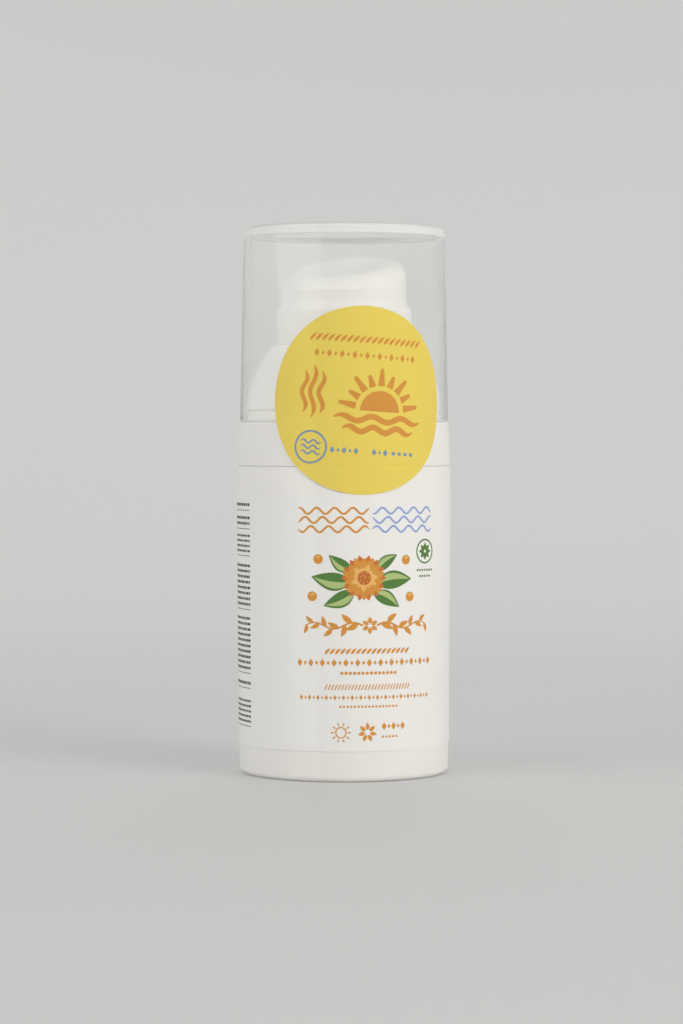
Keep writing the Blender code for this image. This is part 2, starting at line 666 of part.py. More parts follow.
def press_head(material):
    bm = turned_mesh(head_outline(), WIDE_SEGMENTS)
    uphill = Vector((math.sin(HEAD_TURN), -math.cos(HEAD_TURN), 0))
    for vert in bm.verts:
        share = min(1.0, max(0.0, (vert.co.z - SLOPE_Z) / SLOPE_HEIGHT))
        vert.co.z += vert.co.dot(uphill) * TOP_SLOPE * share * share * (3 - 2 * share)
    head = place("press_head", bm, material)
    aim = towards(HEAD_TURN, OUTLET_Z)
    nozzle_seat = GRIP_RADIUS - NOZZLE_LENGTH - FIT_GAP
    outlet_outer = OUTLET_RADIUS + OUTLET_WALL
    pipe = rod(outlet_outer, SOCKET_OUTER, GRIP_RADIUS - HEAD_WALL / 2)
    bore = rod(OUTLET_RADIUS, 0, GRIP_RADIUS)
    seat = rod(NOZZLE_RADIUS + SLIDE_GAP, nozzle_seat, SKIRT_RADIUS + OVERRUN)
    boolean(head, turned("outlet_pipe", pipe, SLIM_SEGMENTS, None, aim), "UNION")
    boolean(head, turned("outlet_bore", bore, SLIM_SEGMENTS, None, aim), "DIFFERENCE")
    boolean(head, turned("nozzle_seat", seat, SLIM_SEGMENTS, None, aim), "DIFFERENCE")
    return head


def nozzle_tip(material):
    low = GRIP_RADIUS - NOZZLE_LENGTH
    high = GRIP_RADIUS + NOZZLE_PROUD
    outline = [
        (OUTLET_RADIUS, low),
        (NOZZLE_RADIUS, low),
        (NOZZLE_RADIUS, high - NOZZLE_PROUD / 2),
        (NOZZLE_RADIUS - NOZZLE_PROUD / 2, high),
        (NOZZLE_ORIFICE, high),
        (NOZZLE_ORIFICE, high - NOZZLE_LENGTH / 2),
    ]
    return turned("nozzle_tip", outline, SLIM_SEGMENTS, material, towards(HEAD_TURN, OUTLET_Z))


def overcap(material):
    dimple_z = CAP_TOP_Z - GATE_DIMPLE_DEPTH
    outline = [
        (0, CAP_TOP_Z - GATE_DIMPLE_DEPTH / 2),
        (GATE_NUB_RADIUS, dimple_z),
        (GATE_DIMPLE_RADIUS - GATE_DIMPLE_DEPTH, dimple_z),
        (GATE_DIMPLE_RADIUS, CAP_TOP_Z),
    ]
    outline += corner(
        (CAP_TOP_RADIUS - CAP_ROUNDING, CAP_TOP_Z - CAP_ROUNDING), CAP_ROUNDING, 90, 0
    )
    outline += [(CAP_FOOT_RADIUS, CAP_Z), (CAP_BORE_RADIUS, CAP_Z), (CAP_BORE_RADIUS, DOME_Z)]
    inner_corner = CAP_ROUNDING / 2
    inner_radius = CAP_TOP_RADIUS - CAP_WALL
    outline += corner((inner_radius - inner_corner, CAP_CEILING_Z - inner_corner), inner_corner, 0, 90)
    outline += [(0, CAP_CEILING_Z)]
    return turned("overcap", outline, WIDE_SEGMENTS, material)


def wrapped(name, flat, centre_turn, centre_z, material):
    # Lays a flat film, given as a mesh in (width, height), on the outside of the closed bottle.
    reference = outer_radius(centre_z) + FILM_GAP
    for vert in flat.verts:
        height = centre_z + vert.co.y
        turn = centre_turn + vert.co.x / reference
        radius = outer_radius(height) + FILM_GAP
        vert.co = (radius * math.sin(turn), -radius * math.cos(turn), height)
    film = place(name, flat, material)
    thickness = film.modifiers.new("thickness", "SOLIDIFY")
    thickness.thickness = FILM_THICKNESS
    thickness.offset = 1
    return film


def wrap_label(material):
    # One sheet round the bottle, with its two edges a little apart at the back.
    middle = (LABEL_MARGIN + LABEL_TOP_Z) / 2
    around = math.tau * (outer_radius(middle) + FILM_GAP) - LABEL_SEAM
    bm = bmesh.new()
    bmesh.ops.create_grid(bm, x_segments=FILM_COLUMNS, y_segments=1, size=1)
    size = Matrix.Diagonal((around / 2, (LABEL_TOP_Z - LABEL_MARGIN) / 2, 1, 1))
    bmesh.ops.transform(bm, matrix=size, verts=bm.verts)
    return wrapped("wrap_label", bm, 0, middle, material)


def seal_sticker(material):
    # A round sticker, as rings and spokes so that it bends evenly with the wall.
    bm = bmesh.new()
    line = [bm.verts.new((SEAL_RADIUS * ring / SEAL_RINGS, 0, 0)) for ring in range(SEAL_RINGS + 1)]
    edges = [bm.edges.new(pair) for pair in zip(line, line[1:])]
    bmesh.ops.spin(
        bm, geom=line + edges, cent=(0, 0, 0), axis=(0, 0, 1), angle=math.tau, steps=SEAL_SPOKES
    )
    bmesh.ops.remove_doubles(bm, verts=bm.verts, dist=WELD)
    return wrapped("seal_sticker", bm, SEAL_TURN, SEAL_Z, material)


def build():
    clear_scene()
    white = plastic("white_plastic", (0.83, 0.82, 0.79), 0.35)
    seal_white = plastic("soft_white_plastic", (0.80, 0.80, 0.79), 0.5)
    clear = plastic("clear_plastic", (0.95, 0.96, 0.95), 0.05, transmission=1.0)
    steel = plastic("spring_steel", (0.62, 0.62, 0.63), 0.3, metallic=1.0)
    rubber = plastic("seal_rubber", (0.35, 0.36, 0.38), 0.7)
    label = plastic("label_film", (0.85, 0.84, 0.81), 0.4)
    yellow = plastic("yellow_film", (0.80, 0.66, 0.12), 0.45)

    bottle_body(white)
    follower_piston(seal_white)
    pump_housing(white)
    neck_seal(rubber)
    inlet_ball(steel)
    pump_piston(seal_white)
    pump_stem(white)
    valve_rod(white)
    chamber_cover(white)
    return_spring(steel)
    shoulder_collar(white)
    press_head(white)
    nozzle_tip(white)
    overcap(clear)
    wrap_label(label)
    seal_sticker(yellow)


build()
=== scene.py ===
import json
import math

import bmesh
import bpy
from mathutils import Matrix, Vector

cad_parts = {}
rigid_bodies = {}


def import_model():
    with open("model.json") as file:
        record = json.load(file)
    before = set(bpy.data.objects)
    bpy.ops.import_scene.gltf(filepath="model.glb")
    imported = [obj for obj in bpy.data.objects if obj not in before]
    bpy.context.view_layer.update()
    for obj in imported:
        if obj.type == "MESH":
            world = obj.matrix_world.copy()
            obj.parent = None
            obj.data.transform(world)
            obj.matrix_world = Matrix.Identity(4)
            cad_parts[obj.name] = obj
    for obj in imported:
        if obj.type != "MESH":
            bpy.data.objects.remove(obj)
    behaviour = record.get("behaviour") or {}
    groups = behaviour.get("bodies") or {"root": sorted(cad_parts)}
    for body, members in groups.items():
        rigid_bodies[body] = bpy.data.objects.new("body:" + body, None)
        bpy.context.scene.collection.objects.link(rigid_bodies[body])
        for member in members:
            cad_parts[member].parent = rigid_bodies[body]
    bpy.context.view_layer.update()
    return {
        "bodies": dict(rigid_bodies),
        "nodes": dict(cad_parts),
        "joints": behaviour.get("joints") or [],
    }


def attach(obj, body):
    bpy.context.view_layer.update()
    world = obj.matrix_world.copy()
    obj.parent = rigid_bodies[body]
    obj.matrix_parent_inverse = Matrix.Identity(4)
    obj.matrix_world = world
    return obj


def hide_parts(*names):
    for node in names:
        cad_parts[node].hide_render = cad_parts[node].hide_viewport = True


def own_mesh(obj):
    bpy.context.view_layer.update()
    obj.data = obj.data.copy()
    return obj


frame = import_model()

mm = 0.001
print("frame:", len(frame["nodes"]), "nodes on", len(frame["bodies"]), "bodies")


# Node trees

class Wire:
    # An output socket that can stand in an expression, in a shader tree or a geometry tree.
    def __init__(self, net, socket):
        self.net, self.socket = net, socket

    def __getitem__(self, name):
        return Wire(self.net, self.net.find(self.socket.node.outputs, name))

    def math(self, operation, *others):
        return self.net.math(operation, self, *others)

    def __add__(self, other):
        return self.math("ADD", other)

    def __radd__(self, other):
        return self.net.math("ADD", other, self)

    def __sub__(self, other):
        return self.math("SUBTRACT", other)

    def __rsub__(self, other):
        return self.net.math("SUBTRACT", other, self)

    def __mul__(self, other):
        return self.math("MULTIPLY", other)

    def __rmul__(self, other):
        return self.net.math("MULTIPLY", other, self)

    def __truediv__(self, other):
        return self.math("DIVIDE", other)

    def __lt__(self, other):
        return self.math("LESS_THAN", other)


class Net:
    # One node tree. node() adds any node: its settings first, then the values or links of its sockets.
    def __init__(self, tree):
        self.tree = tree

    def find(self, sockets, name):
        if isinstance(name, int):
            return sockets[name]
        named = (socket for socket in sockets if name in (socket.name, socket.identifier))
        return next(socket for socket in named if socket.enabled)

    def node(self, kind, settings=None, sockets=None):
        made = self.tree.nodes.new(kind)
        for key, value in (settings or {}).items():
            setattr(made, key, value)
        for key, value in (sockets or {}).items():
            socket = self.find(made.inputs, key)
            if isinstance(value, Wire):
                self.tree.links.new(value.socket, socket)
            else:
                socket.default_value = value
        outputs = [socket for socket in made.outputs if socket.enabled]
        return Wire(self, outputs[0]) if outputs else None

    def math(self, operation, *values):
        return self.node("ShaderNodeMath", {"operation": operation}, dict(enumerate(values)))

    def mix(self, share, low, high):
        colors = {"A": rgba(low), "B": rgba(high), "Factor": share}
        return self.node("ShaderNodeMix", {"data_type": "RGBA"}, colors)

    def combine(self, x=0.0, y=0.0, z=0.0):
        return self.node("ShaderNodeCombineXYZ", None, {"X": x, "Y": y, "Z": z})

    def length(self, vector):
        return self.node("ShaderNodeVectorMath", {"operation": "LENGTH"}, {0: vector})["Value"]

    def noise(self, place, pitch, detail=2, roughness=0.5):
        # Cloudy noise whose blotches are about one pitch wide, in millimetres.
        sockets = {"Vector": place, "Scale": 1 / (pitch * mm), "Detail": detail, "Roughness": roughness}
        return self.node("ShaderNodeTexNoise", None, sockets)

    def ramp(self, value, low, high):
        # 0 at low, 1 at high, smooth between them.
        settings = {"interpolation_type": "SMOOTHSTEP"}
        return self.node("ShaderNodeMapRange", settings, {"Value": value, "From Min": low, "From Max": high})

    def bump(self, height, depth, after=None):
        sockets = {"Height": height, "Distance": depth * mm, "Strength": 1}
        if after is not None:
            sockets["Normal"] = after
        return self.node("ShaderNodeBump", None, sockets)


def rgba(color):
    return color if isinstance(color, Wire) else (*color, 1)


def newMaterial(name):
    material = bpy.data.materials.new(name)
    material.use_nodes = True
    material.node_tree.nodes.clear()
    net = Net(material.node_tree)
    return material, net, net.node("ShaderNodeTexCoord")["Object"]


def surface(net, shader):
    net.node("ShaderNodeOutputMaterial", None, {"Surface": shader})


# Finishes

def varied(middle, noise, spread):
    # Noise lies about 0.5. This brings it to a middle of its own, and to its own spread.
    return middle + (noise - 0.5) * spread


def satinSurface(net, tone, rough, bumps, look):
    # The shader that every finish shares but the clear plastic and the steel.
    surface(net, net.node("ShaderNodeBsdfPrincipled", None, {
        "Base Color": tone, "Roughness": rough, "Normal": bumps, "IOR": look["ior"],
        "Specular IOR Level": look["specular"],
    }))


def mouldedPlastic(name, look):
    # Satin moulded plastic: the mould's fine grain, slow waves of shrinkage, and a little dust near the foot.
    material, net, place = newMaterial(name)
    height = net.node("ShaderNodeSeparateXYZ", None, {"Vector": place})["Z"]
    cloud = net.noise(place, look["cloud"], 3)
    grain = net.noise(place, look["grain"], 3, 0.6)
    waves = net.noise(place, look["waves"], 1)
    scuff = (net.noise(place, look["scuff"], 4, 0.65) - look["scuffFrom"]) * look["scuffContrast"]
    low = net.ramp(height, look["dustHeight"] * mm, 0)
    dust = (low * scuff).math("MAXIMUM", 0).math("MINIMUM", 1) * look["dust"]
    tone = net.mix(cloud, look["shade"], look["color"])
    tone = net.mix(dust, tone, look["dustColor"])
    rough = varied(look["roughness"], grain, look["roughSpread"]) + dust * look["dustRoughness"]
    bumps = net.bump(grain, look["grainDepth"], net.bump(waves, look["waveDepth"]))
    satinSurface(net, tone, rough, bumps, look)
    return material


def clearPlastic(name, look):
    # Clear moulded plastic that lets soft light straight through, with hairline rubs and smudges.
    # Its top edge carries a painted pale band, a painted reflection of bright light caught in the top plate,
    # and its foot a painted pale ring, painted light over the dark joint below it.
    material, net, place = newMaterial(name)
    stretched = net.node("ShaderNodeMapping", None, {"Vector": place, "Scale": (1, 1, look["rubStretch"])})
    rubs = net.ramp(net.noise(stretched, look["rub"], 5, 0.7), *look["rubRange"])
    smudge = net.ramp(net.noise(place, look["smudge"], 3, 0.55), *look["smudgeRange"])
    rough = look["roughness"] + rubs * look["rubRoughness"] + smudge * look["smudgeRoughness"]
    glass = net.node("ShaderNodeBsdfPrincipled", None, {
        "Base Color": net.mix(smudge, look["color"], look["smudgeColor"]), "Roughness": rough,
        "Normal": net.bump(net.noise(place, look["waves"], 1), look["waveDepth"]), "IOR": look["ior"],
        "Transmission Weight": look["clear"],
    })
    height = net.node("ShaderNodeSeparateXYZ", None, {"Vector": place})["Z"]
    reach = net.length(net.node("ShaderNodeVectorMath", {"operation": "MULTIPLY"}, {0: place, 1: (1, 1, 0)}))
    # Painted reflection: a pale band round the top edge, mixed in as a diffuse pale shader.
    ring = net.ramp(height, look["milkLow"] * mm, look["milkHigh"] * mm)
    ring = ring * net.ramp(reach, look["milkInner"] * mm, look["milkOuter"] * mm) * look["milk"]
    # Painted light: a pale ring at the foot, over the dark joint under the cap.
    foot = net.ramp(height, look["footHigh"] * mm, look["footLow"] * mm) * look["footMilk"]
    paintedPale = net.node("ShaderNodeBsdfPrincipled", None, {
        "Base Color": rgba(look["milkColor"]), "Roughness": look["milkRoughness"], "IOR": look["ior"],
    })
    body = net.node("ShaderNodeMixShader", None, {"Fac": ring.math("MAXIMUM", foot), 1: glass, 2: paintedPale})
    straight = net.node("ShaderNodeBsdfTransparent", None, {"Color": rgba(look["shadow"])})
    ray = net.node("ShaderNodeLightPath")
    lightRay = ray["Is Shadow Ray"].math("MAXIMUM", ray["Is Diffuse Ray"])
    surface(net, net.node("ShaderNodeMixShader", None, {"Fac": lightRay, 1: body, 2: straight}))
    return material


def film(name, look):
    # Printed label stock: a faint fibre grain under a satin varnish.
    material, net, place = newMaterial(name)
    cloud = net.noise(place, look["cloud"], 3)
    grain = net.noise(place, look["grain"], 4, 0.7)
    waves = net.noise(place, look["waves"], 2)
    tone = net.mix(cloud, look["shade"], look["color"])
    tone = net.mix(net.ramp(grain, *look["fleckRange"]) * look["fleck"], tone, look["fleckColor"])
    rough = varied(look["roughness"], grain, look["roughSpread"])
    bumps = net.bump(grain, look["grainDepth"], net.bump(waves, look["waveDepth"]))
    satinSurface(net, tone, rough, bumps, look)
    return material


def printedInk(name, color, look):
    # Offset ink: the screen's fine grain breaks the colour a little.
    material, net, place = newMaterial(name)
    screen = net.noise(place, look["screen"], 2, 0.6)
    cloud = net.noise(place, look["cloud"], 2)
    thinner = tuple(1 - (1 - share) * look["thin"] for share in color)
    thicker = tuple(share * look["thick"] for share in color)
    tone = net.mix(net.ramp(screen, *look["brokenRange"]) * look["broken"], color, thinner)
    tone = net.mix(cloud * look["drift"], tone, thicker)
    rough = varied(look["roughness"], screen, look["roughSpread"])
    satinSurface(net, tone, rough, net.bump(screen, look["depth"]), look)
    return material


def drawnSteel(name, look):
    # Spring steel: draw marks round the wire and a faint cloud of oil.
    material, net, place = newMaterial(name)
    marks = net.noise(place, look["marks"], 4, 0.7)
    tone = net.mix(net.noise(place, look["cloud"], 2), look["shade"], look["color"])
    surface(net, net.node("ShaderNodeBsdfPrincipled", None, {
        "Base Color": tone, "Roughness": varied(look["roughness"], marks, look["roughSpread"]),
        "Normal": net.bump(marks, look["depth"]), "Metallic": 1.0,
    }))
    return material


whiteLook = {
    "color": (0.835, 0.815, 0.775), "shade": (0.805, 0.785, 0.745), "cloud": 9.0,
    "grain": 0.22, "grainDepth": 0.006, "waves": 7.0, "waveDepth": 0.03,
    "roughness": 0.36, "roughSpread": 0.14, "specular": 0.5, "ior": 1.49,
    "scuff": 1.3, "scuffFrom": 0.52, "scuffContrast": 6.0,
    "dustHeight": 1.6, "dust": 0.15, "dustColor": (0.56, 0.53, 0.49), "dustRoughness": 0.3,
}
# The head and the dome are the same white plastic painted lighter: painted light that makes up for the shade
# they get inside the clear cap and behind the seal.
litHeadLook = dict(whiteLook, color=(0.885, 0.867, 0.828), shade=(0.86, 0.842, 0.803), dust=0.0)
litDomeLook = dict(litHeadLook, color=(0.94, 0.922, 0.882), shade=(0.92, 0.902, 0.862))
softLook = dict(
    whiteLook, color=(0.80, 0.80, 0.79), shade=(0.76, 0.76, 0.75), roughness=0.5, grain=0.35, dust=0.0,
)
rubberLook = dict(
    whiteLook, color=(0.10, 0.105, 0.115), shade=(0.07, 0.075, 0.08), roughness=0.68, grain=0.15,
    grainDepth=0.012, specular=0.35, dust=0.0,
)
clearLook = {
    "color": (0.99, 0.995, 0.985), "ior": 1.46, "clear": 0.96, "shadow": (0.985, 0.985, 0.98),
    "roughness": 0.05, "waves": 10.0, "waveDepth": 0.02,
    "rub": 0.5, "rubStretch": 0.06, "rubRange": (0.56, 0.74), "rubRoughness": 0.1,
    "smudge": 11.0, "smudgeRange": (0.45, 0.75), "smudgeRoughness": 0.06, "smudgeColor": (0.97, 0.978, 0.965),
    # The pale band at the top edge and the pale ring at the foot are painted light, not a frosting of the
    # plastic.
    "milkLow": 90.1, "milkHigh": 90.3, "milkInner": 15.3, "milkOuter": 15.75, "milk": 0.72,
    "milkColor": (0.79, 0.785, 0.765), "milkRoughness": 0.35,
    "footHigh": 59.8, "footLow": 59.35, "footMilk": 0.5,
}
labelLook = {
    "color": (0.835, 0.82, 0.785), "shade": (0.815, 0.80, 0.765), "cloud": 12.0,
    "grain": 0.14, "grainDepth": 0.004, "waves": 6.0, "waveDepth": 0.025, "specular": 0.45, "ior": 1.47,
    "roughness": 0.4, "roughSpread": 0.12,
    "fleck": 0.06, "fleckRange": (0.62, 0.8), "fleckColor": (0.72, 0.70, 0.66),
}
sealLook = dict(
    labelLook, color=(0.80, 0.62, 0.108), shade=(0.775, 0.60, 0.10), cloud=8.0, grain=0.16, grainDepth=0.007,
    waves=4.0, waveDepth=0.05, roughness=0.46, fleck=0.25, fleckColor=(0.80, 0.58, 0.07),
)
sealBackLook = dict(sealLook, color=(0.80, 0.76, 0.60), shade=(0.77, 0.73, 0.57), fleckColor=(0.7, 0.66, 0.5))
steelLook = {
    "color": (0.60, 0.60, 0.61), "shade": (0.50, 0.50, 0.51), "cloud": 3.0, "marks": 0.12,
    "roughness": 0.27, "roughSpread": 0.2, "depth": 0.002,
}
inkLook = {
    "screen": 0.09, "cloud": 3.0, "thin": 0.55, "broken": 0.5, "brokenRange": (0.58, 0.82),
    "thick": 0.86, "drift": 0.35, "roughness": 0.4, "roughSpread": 0.08, "depth": 0.002,
    "ior": 1.47, "specular": 0.4,
}
inkColors = {
    "orange": (0.66, 0.285, 0.045), "deepOrange": (0.60, 0.17, 0.035), "paleOrange": (0.80, 0.47, 0.13),
    "skyBlue": (0.30, 0.38, 0.66), "greyBlue": (0.20, 0.30, 0.42), "leafGreen": (0.085, 0.20, 0.04),
    "paleGreen": (0.42, 0.52, 0.20), "brown": (0.13, 0.055, 0.03), "dark": (0.045, 0.04, 0.04),
}

whitePlastic = mouldedPlastic("white_plastic_finish", whiteLook)
# Lighter copies of the white plastic: painted light for the head and the dome.
litHeadPlastic = mouldedPlastic("press_head_lit_finish", litHeadLook)
litDomePlastic = mouldedPlastic("dome_lit_finish", litDomeLook)
softPlastic = mouldedPlastic("soft_white_plastic_finish", softLook)
sealRubber = mouldedPlastic("seal_rubber_finish", rubberLook)
capPlastic = clearPlastic("clear_plastic_finish", clearLook)
labelFilm = film("label_film_finish", labelLook)
sealFilm = film("seal_film_finish", sealLook)
sealBack = film("seal_back_finish", sealBackLook)
springSteel = drawnSteel("steel_finish", steelLook)
inks = {name: printedInk("ink_" + name, color, inkLook) for name, color in inkColors.items()}
print("finishes:", len(bpy.data.materials))


# Turned pieces

making = {
    "roundSegments": 160, "nozzleSegments": 64, "merge": 0.0005,
    "sharp": 32, "filmSharp": 40,  # edges of more degrees than this stay sharp
    "arcSteps": 6, "sideShare": 0.48,  # a rounding takes at most this share of the lines beside it
}


def rounded(points, closed):
    # Points are (radius, height) or (radius, height, rounding): each rounding becomes a small arc.
    made, count = [], len(points)
    for index, point in enumerate(points):
        here = Vector(point[:2])
        if len(point) < 3 or (not closed and index in (0, count - 1)):
            made.append(here)
            continue
        back = Vector(points[index - 1][:2]) - here
        ahead = Vector(points[(index + 1) % count][:2]) - here
        half = back.angle(ahead) / 2
        share, steps = making["sideShare"], making["arcSteps"]
        reach = min(point[2] / math.tan(half), share * back.length, share * ahead.length)
        radius = reach * math.tan(half)
        centre = here + (back.normalized() + ahead.normalized()).normalized() * (radius / math.sin(half))
        start, end = here + back.normalized() * reach - centre, here + ahead.normalized() * reach - centre
        turn = start.angle_signed(end)
        for step in range(steps + 1):
            made.append(centre + Matrix.Rotation(-turn * step / steps, 2) @ start)
    return [tuple(point) for point in made]


def added(name, data):
    item = bpy.data.objects.new(name, data)
    bpy.context.scene.collection.objects.link(item)
    return item


def metricMesh(name, bm):
    # Turns the millimetres into metres, and uses the bmesh up.
    bmesh.ops.scale(bm, vec=(mm, mm, mm), verts=bm.verts)
    mesh = bpy.data.meshes.new(name)
    bm.to_mesh(mesh)
    bm.free()
    mesh.shade_smooth()
    return mesh


def finished(name, bm, finish, sharp=making["sharp"]):
    # The piece's object stays at the origin: its place is in its mesh, in metres.
    bmesh.ops.remove_doubles(bm, verts=bm.verts, dist=making["merge"])
    bmesh.ops.recalc_face_normals(bm, faces=bm.faces)
    mesh = metricMesh(name, bm)
    mesh.set_sharp_from_angle(angle=math.radians(sharp))
    for material in finish if isinstance(finish, list) else [finish]:
        mesh.materials.append(material)
    return added(name, mesh)


def evaluatedMesh(item):
    return bpy.data.meshes.new_from_object(item.evaluated_get(bpy.context.evaluated_depsgraph_get()))


def turnedMesh(outline, closed, segments=making["roundSegments"]):
    bm = bmesh.new()
    rings = []
    for radius, height in outline:
        if radius < 1e-6:  # on the axis
            rings.append([bm.verts.new((0, 0, height))] * segments)
            continue
        turns = (math.tau * step / segments for step in range(segments))
        rings.append([bm.verts.new((radius * math.sin(t), -radius * math.cos(t), height)) for t in turns])
    pairs = list(zip(rings, rings[1:])) + ([(rings[-1], rings[0])] if closed else [])
    for low, high in pairs:
        for step in range(segments):
            after = (step + 1) % segments
            corners = list(dict.fromkeys([low[step], low[after], high[after], high[step]]))
            if len(corners) > 2:
                bm.faces.new(corners)
    return bm


def turned(name, outline, finish, closed=True):
    return finished(name, turnedMesh(rounded(outline, closed), closed), finish)


def onBody(piece, body, slotName, *nodes):
    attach(piece, body)
    if nodes:
        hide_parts(*nodes)


# The body stands on its foot ring. Its floor is lifted inside the ring and has a shallow round groove.
bottle = {
    "radius": 18.0, "footRadius": 17.65, "height": 51.82, "footRounding": 1.0, "footInner": 14.85,
    "footSlope": 14.05, "grooveInner": 10.65, "grooveOuter": 11.65, "grooveDepth": 0.25, "grooveSlope": 0.2,
    "lift": 0.8, "floor": 2.4, "vent": 0.8, "bore": 15.3, "shoulderRounding": 0.04,
    "neck": 16.7, "rim": 57.9, "rimRounding": 0.3, "bead": 16.84, "beadHeight": 55.3, "beadHalf": 0.6,
    "mouth": 15.93, "mouthHeight": 56.2,
}
b = bottle
grooveTop = b["lift"] + b["grooveDepth"]
bottleShell = turned("bottle_shell", [
    (b["vent"], b["floor"], 0.15), (b["vent"], b["lift"], 0.15), (b["grooveInner"], b["lift"], 0.3),
    (b["grooveInner"] + b["grooveSlope"], grooveTop, 0.2),
    (b["grooveOuter"] - b["grooveSlope"], grooveTop, 0.2), (b["grooveOuter"], b["lift"], 0.3),
    (b["footSlope"], b["lift"], 0.35), (b["footInner"], 0, 0.3),
    (b["footRadius"], 0, b["footRounding"]), (b["radius"], b["height"], b["shoulderRounding"]),
    (b["neck"], b["height"], 0.2), (b["neck"], b["beadHeight"] - b["beadHalf"], 0.3),
    (b["bead"], b["beadHeight"], 0.5), (b["neck"], b["beadHeight"] + b["beadHalf"], 0.3),
    (b["neck"], b["rim"], b["rimRounding"]), (b["mouth"], b["rim"], 0.2), (b["mouth"], b["mouthHeight"], 0.1),
    (b["bore"], b["mouthHeight"], 0.15), (b["bore"], b["floor"], 0.6),
], whitePlastic)
onBody(bottleShell, "bottle", "white_plastic", "bottle_body")

collar = {
    "skirtInner": 14.53, "skirtOuter": 15.63, "skirtLow": 57.6, "plate": 58.2, "wall": 1.2,
    "bandBore": 16.99, "bandLow": 51.86, "bandFoot": 18.0, "bandTop": 17.67,
    "ledge": 59.2, "ledgeRounding": 0.3, "spigot": 16.35, "grooveLow": 60.4, "groove": 15.9,
    "domeLow": 61.2, "domeStep": 0.08, "domeTop": 72.1, "domeStop": 0.25, "domeFinishFrom": 59.25,
    "guide": 11.75, "guideLow": 68.5, "lip": 12.5, "lipChamfer": 0.2,
}
c = collar


def domeArc(radius, low, topRadius, top, steps):
    rise = (top - low) / math.sqrt(1 - (topRadius / radius) ** 2)
    turns = (math.acos(topRadius / radius) * step / steps for step in range(steps + 1))
    return [(radius * math.cos(turn), low + rise * math.sin(turn)) for turn in turns]


domeOutside = domeArc(c["spigot"], c["domeLow"], c["lip"], c["domeTop"] - c["domeStop"], 40)
domeInside = domeArc(c["spigot"] - c["wall"], c["domeLow"], c["lip"], c["domeTop"] - c["wall"], 16)
shoulderDome = turned("shoulder_dome", [
    (c["skirtInner"], c["skirtLow"], 0.15), (c["skirtOuter"], c["skirtLow"], 0.3),
    (c["skirtOuter"], c["plate"], 0.1), (c["bandBore"], c["plate"], 0.2), (c["bandBore"], c["bandLow"], 0.2),
    (c["bandFoot"], c["bandLow"], 0.04), (c["bandTop"], c["ledge"], c["ledgeRounding"]),
    (c["spigot"], c["ledge"], 0.12), (c["spigot"], c["grooveLow"], 0.2), (c["groove"], c["grooveLow"], 0.12),
    (c["groove"], c["domeLow"], 0.12), (c["spigot"] - c["domeStep"], c["domeLow"]), *domeOutside[1:-1],
    (c["lip"], c["domeTop"] - c["lipChamfer"], 0.15), (c["lip"] - c["lipChamfer"], c["domeTop"], 0.15),
    (c["guide"], c["domeTop"], 0.22), (c["guide"], c["guideLow"], 0.1), (c["lip"], c["guideLow"], 0.1),
    *reversed(domeInside), (c["spigot"] - c["wall"], c["ledge"], 0.2), (c["skirtInner"], c["ledge"], 0.2),
], [whitePlastic, litDomePlastic])
# The dome above the ledge takes the lighter copy, as painted light; the band below keeps the plain white
# plastic of the same piece.
for face in shoulderDome.data.polygons:
    face.material_index = int(face.center.z > c["domeFinishFrom"] * mm)
onBody(shoulderDome, "bottle", "white_plastic", "shoulder_collar")

head = {
    "skirt": 11.4, "skirtLow": 67.0, "flareLow": 77.8, "flareTop": 79.4, "grip": 10.5, "wall": 1.2,
    "top": 85.5, "topRounding": 3.0, "dish": 0.6, "dishRadius": 6.9, "dishSteps": 10, "crownSteps": 22,
    "slope": 0.26, "slopeLow": 80.5, "slopeHeight": 3.5, "gripSteps": 5,
    "ceiling": 83.4, "ceilingBand": 1.8, "postRadius": 5.6, "postLow": 76.18, "socketOuter": 4.0,
    "socketLow": 68.48, "socketRadius": 2.75, "socketTop": 78.88, "uptake": 1.3, "uptakeOver": 0.5,
    "turn": 141.0, "outletHeight": 81.38, "nozzleSeat": 1.75, "seatRoom": 0.3, "plugOver": 1.0,
    "nozzle": 1.6, "nozzleLength": 2.6, "nozzleBore": 1.0, "proud": 0.3,
    "orifice": 0.55, "orificeRim": 0.45, "orificeDip": 0.3, "orificeLength": 1.3,
}
h = head
uphill = Vector((math.sin(math.radians(h["turn"])), -math.cos(math.radians(h["turn"])), 0))


def sloped(point):
    share = min(1, max(0, (point.z - h["slopeLow"]) / h["slopeHeight"]))
    return point + Vector((0, 0, point.dot(uphill) * h["slope"] * share * share * (3 - 2 * share)))


def outwards(bm):
    # Stands a piece that was turned about Z on the line of the nozzle.
    aim = Matrix.Translation((0, 0, h["outletHeight"])) @ uphill.to_track_quat("Z", "Y").to_matrix().to_4x4()
    bmesh.ops.transform(bm, matrix=aim, verts=bm.verts)
    return bm


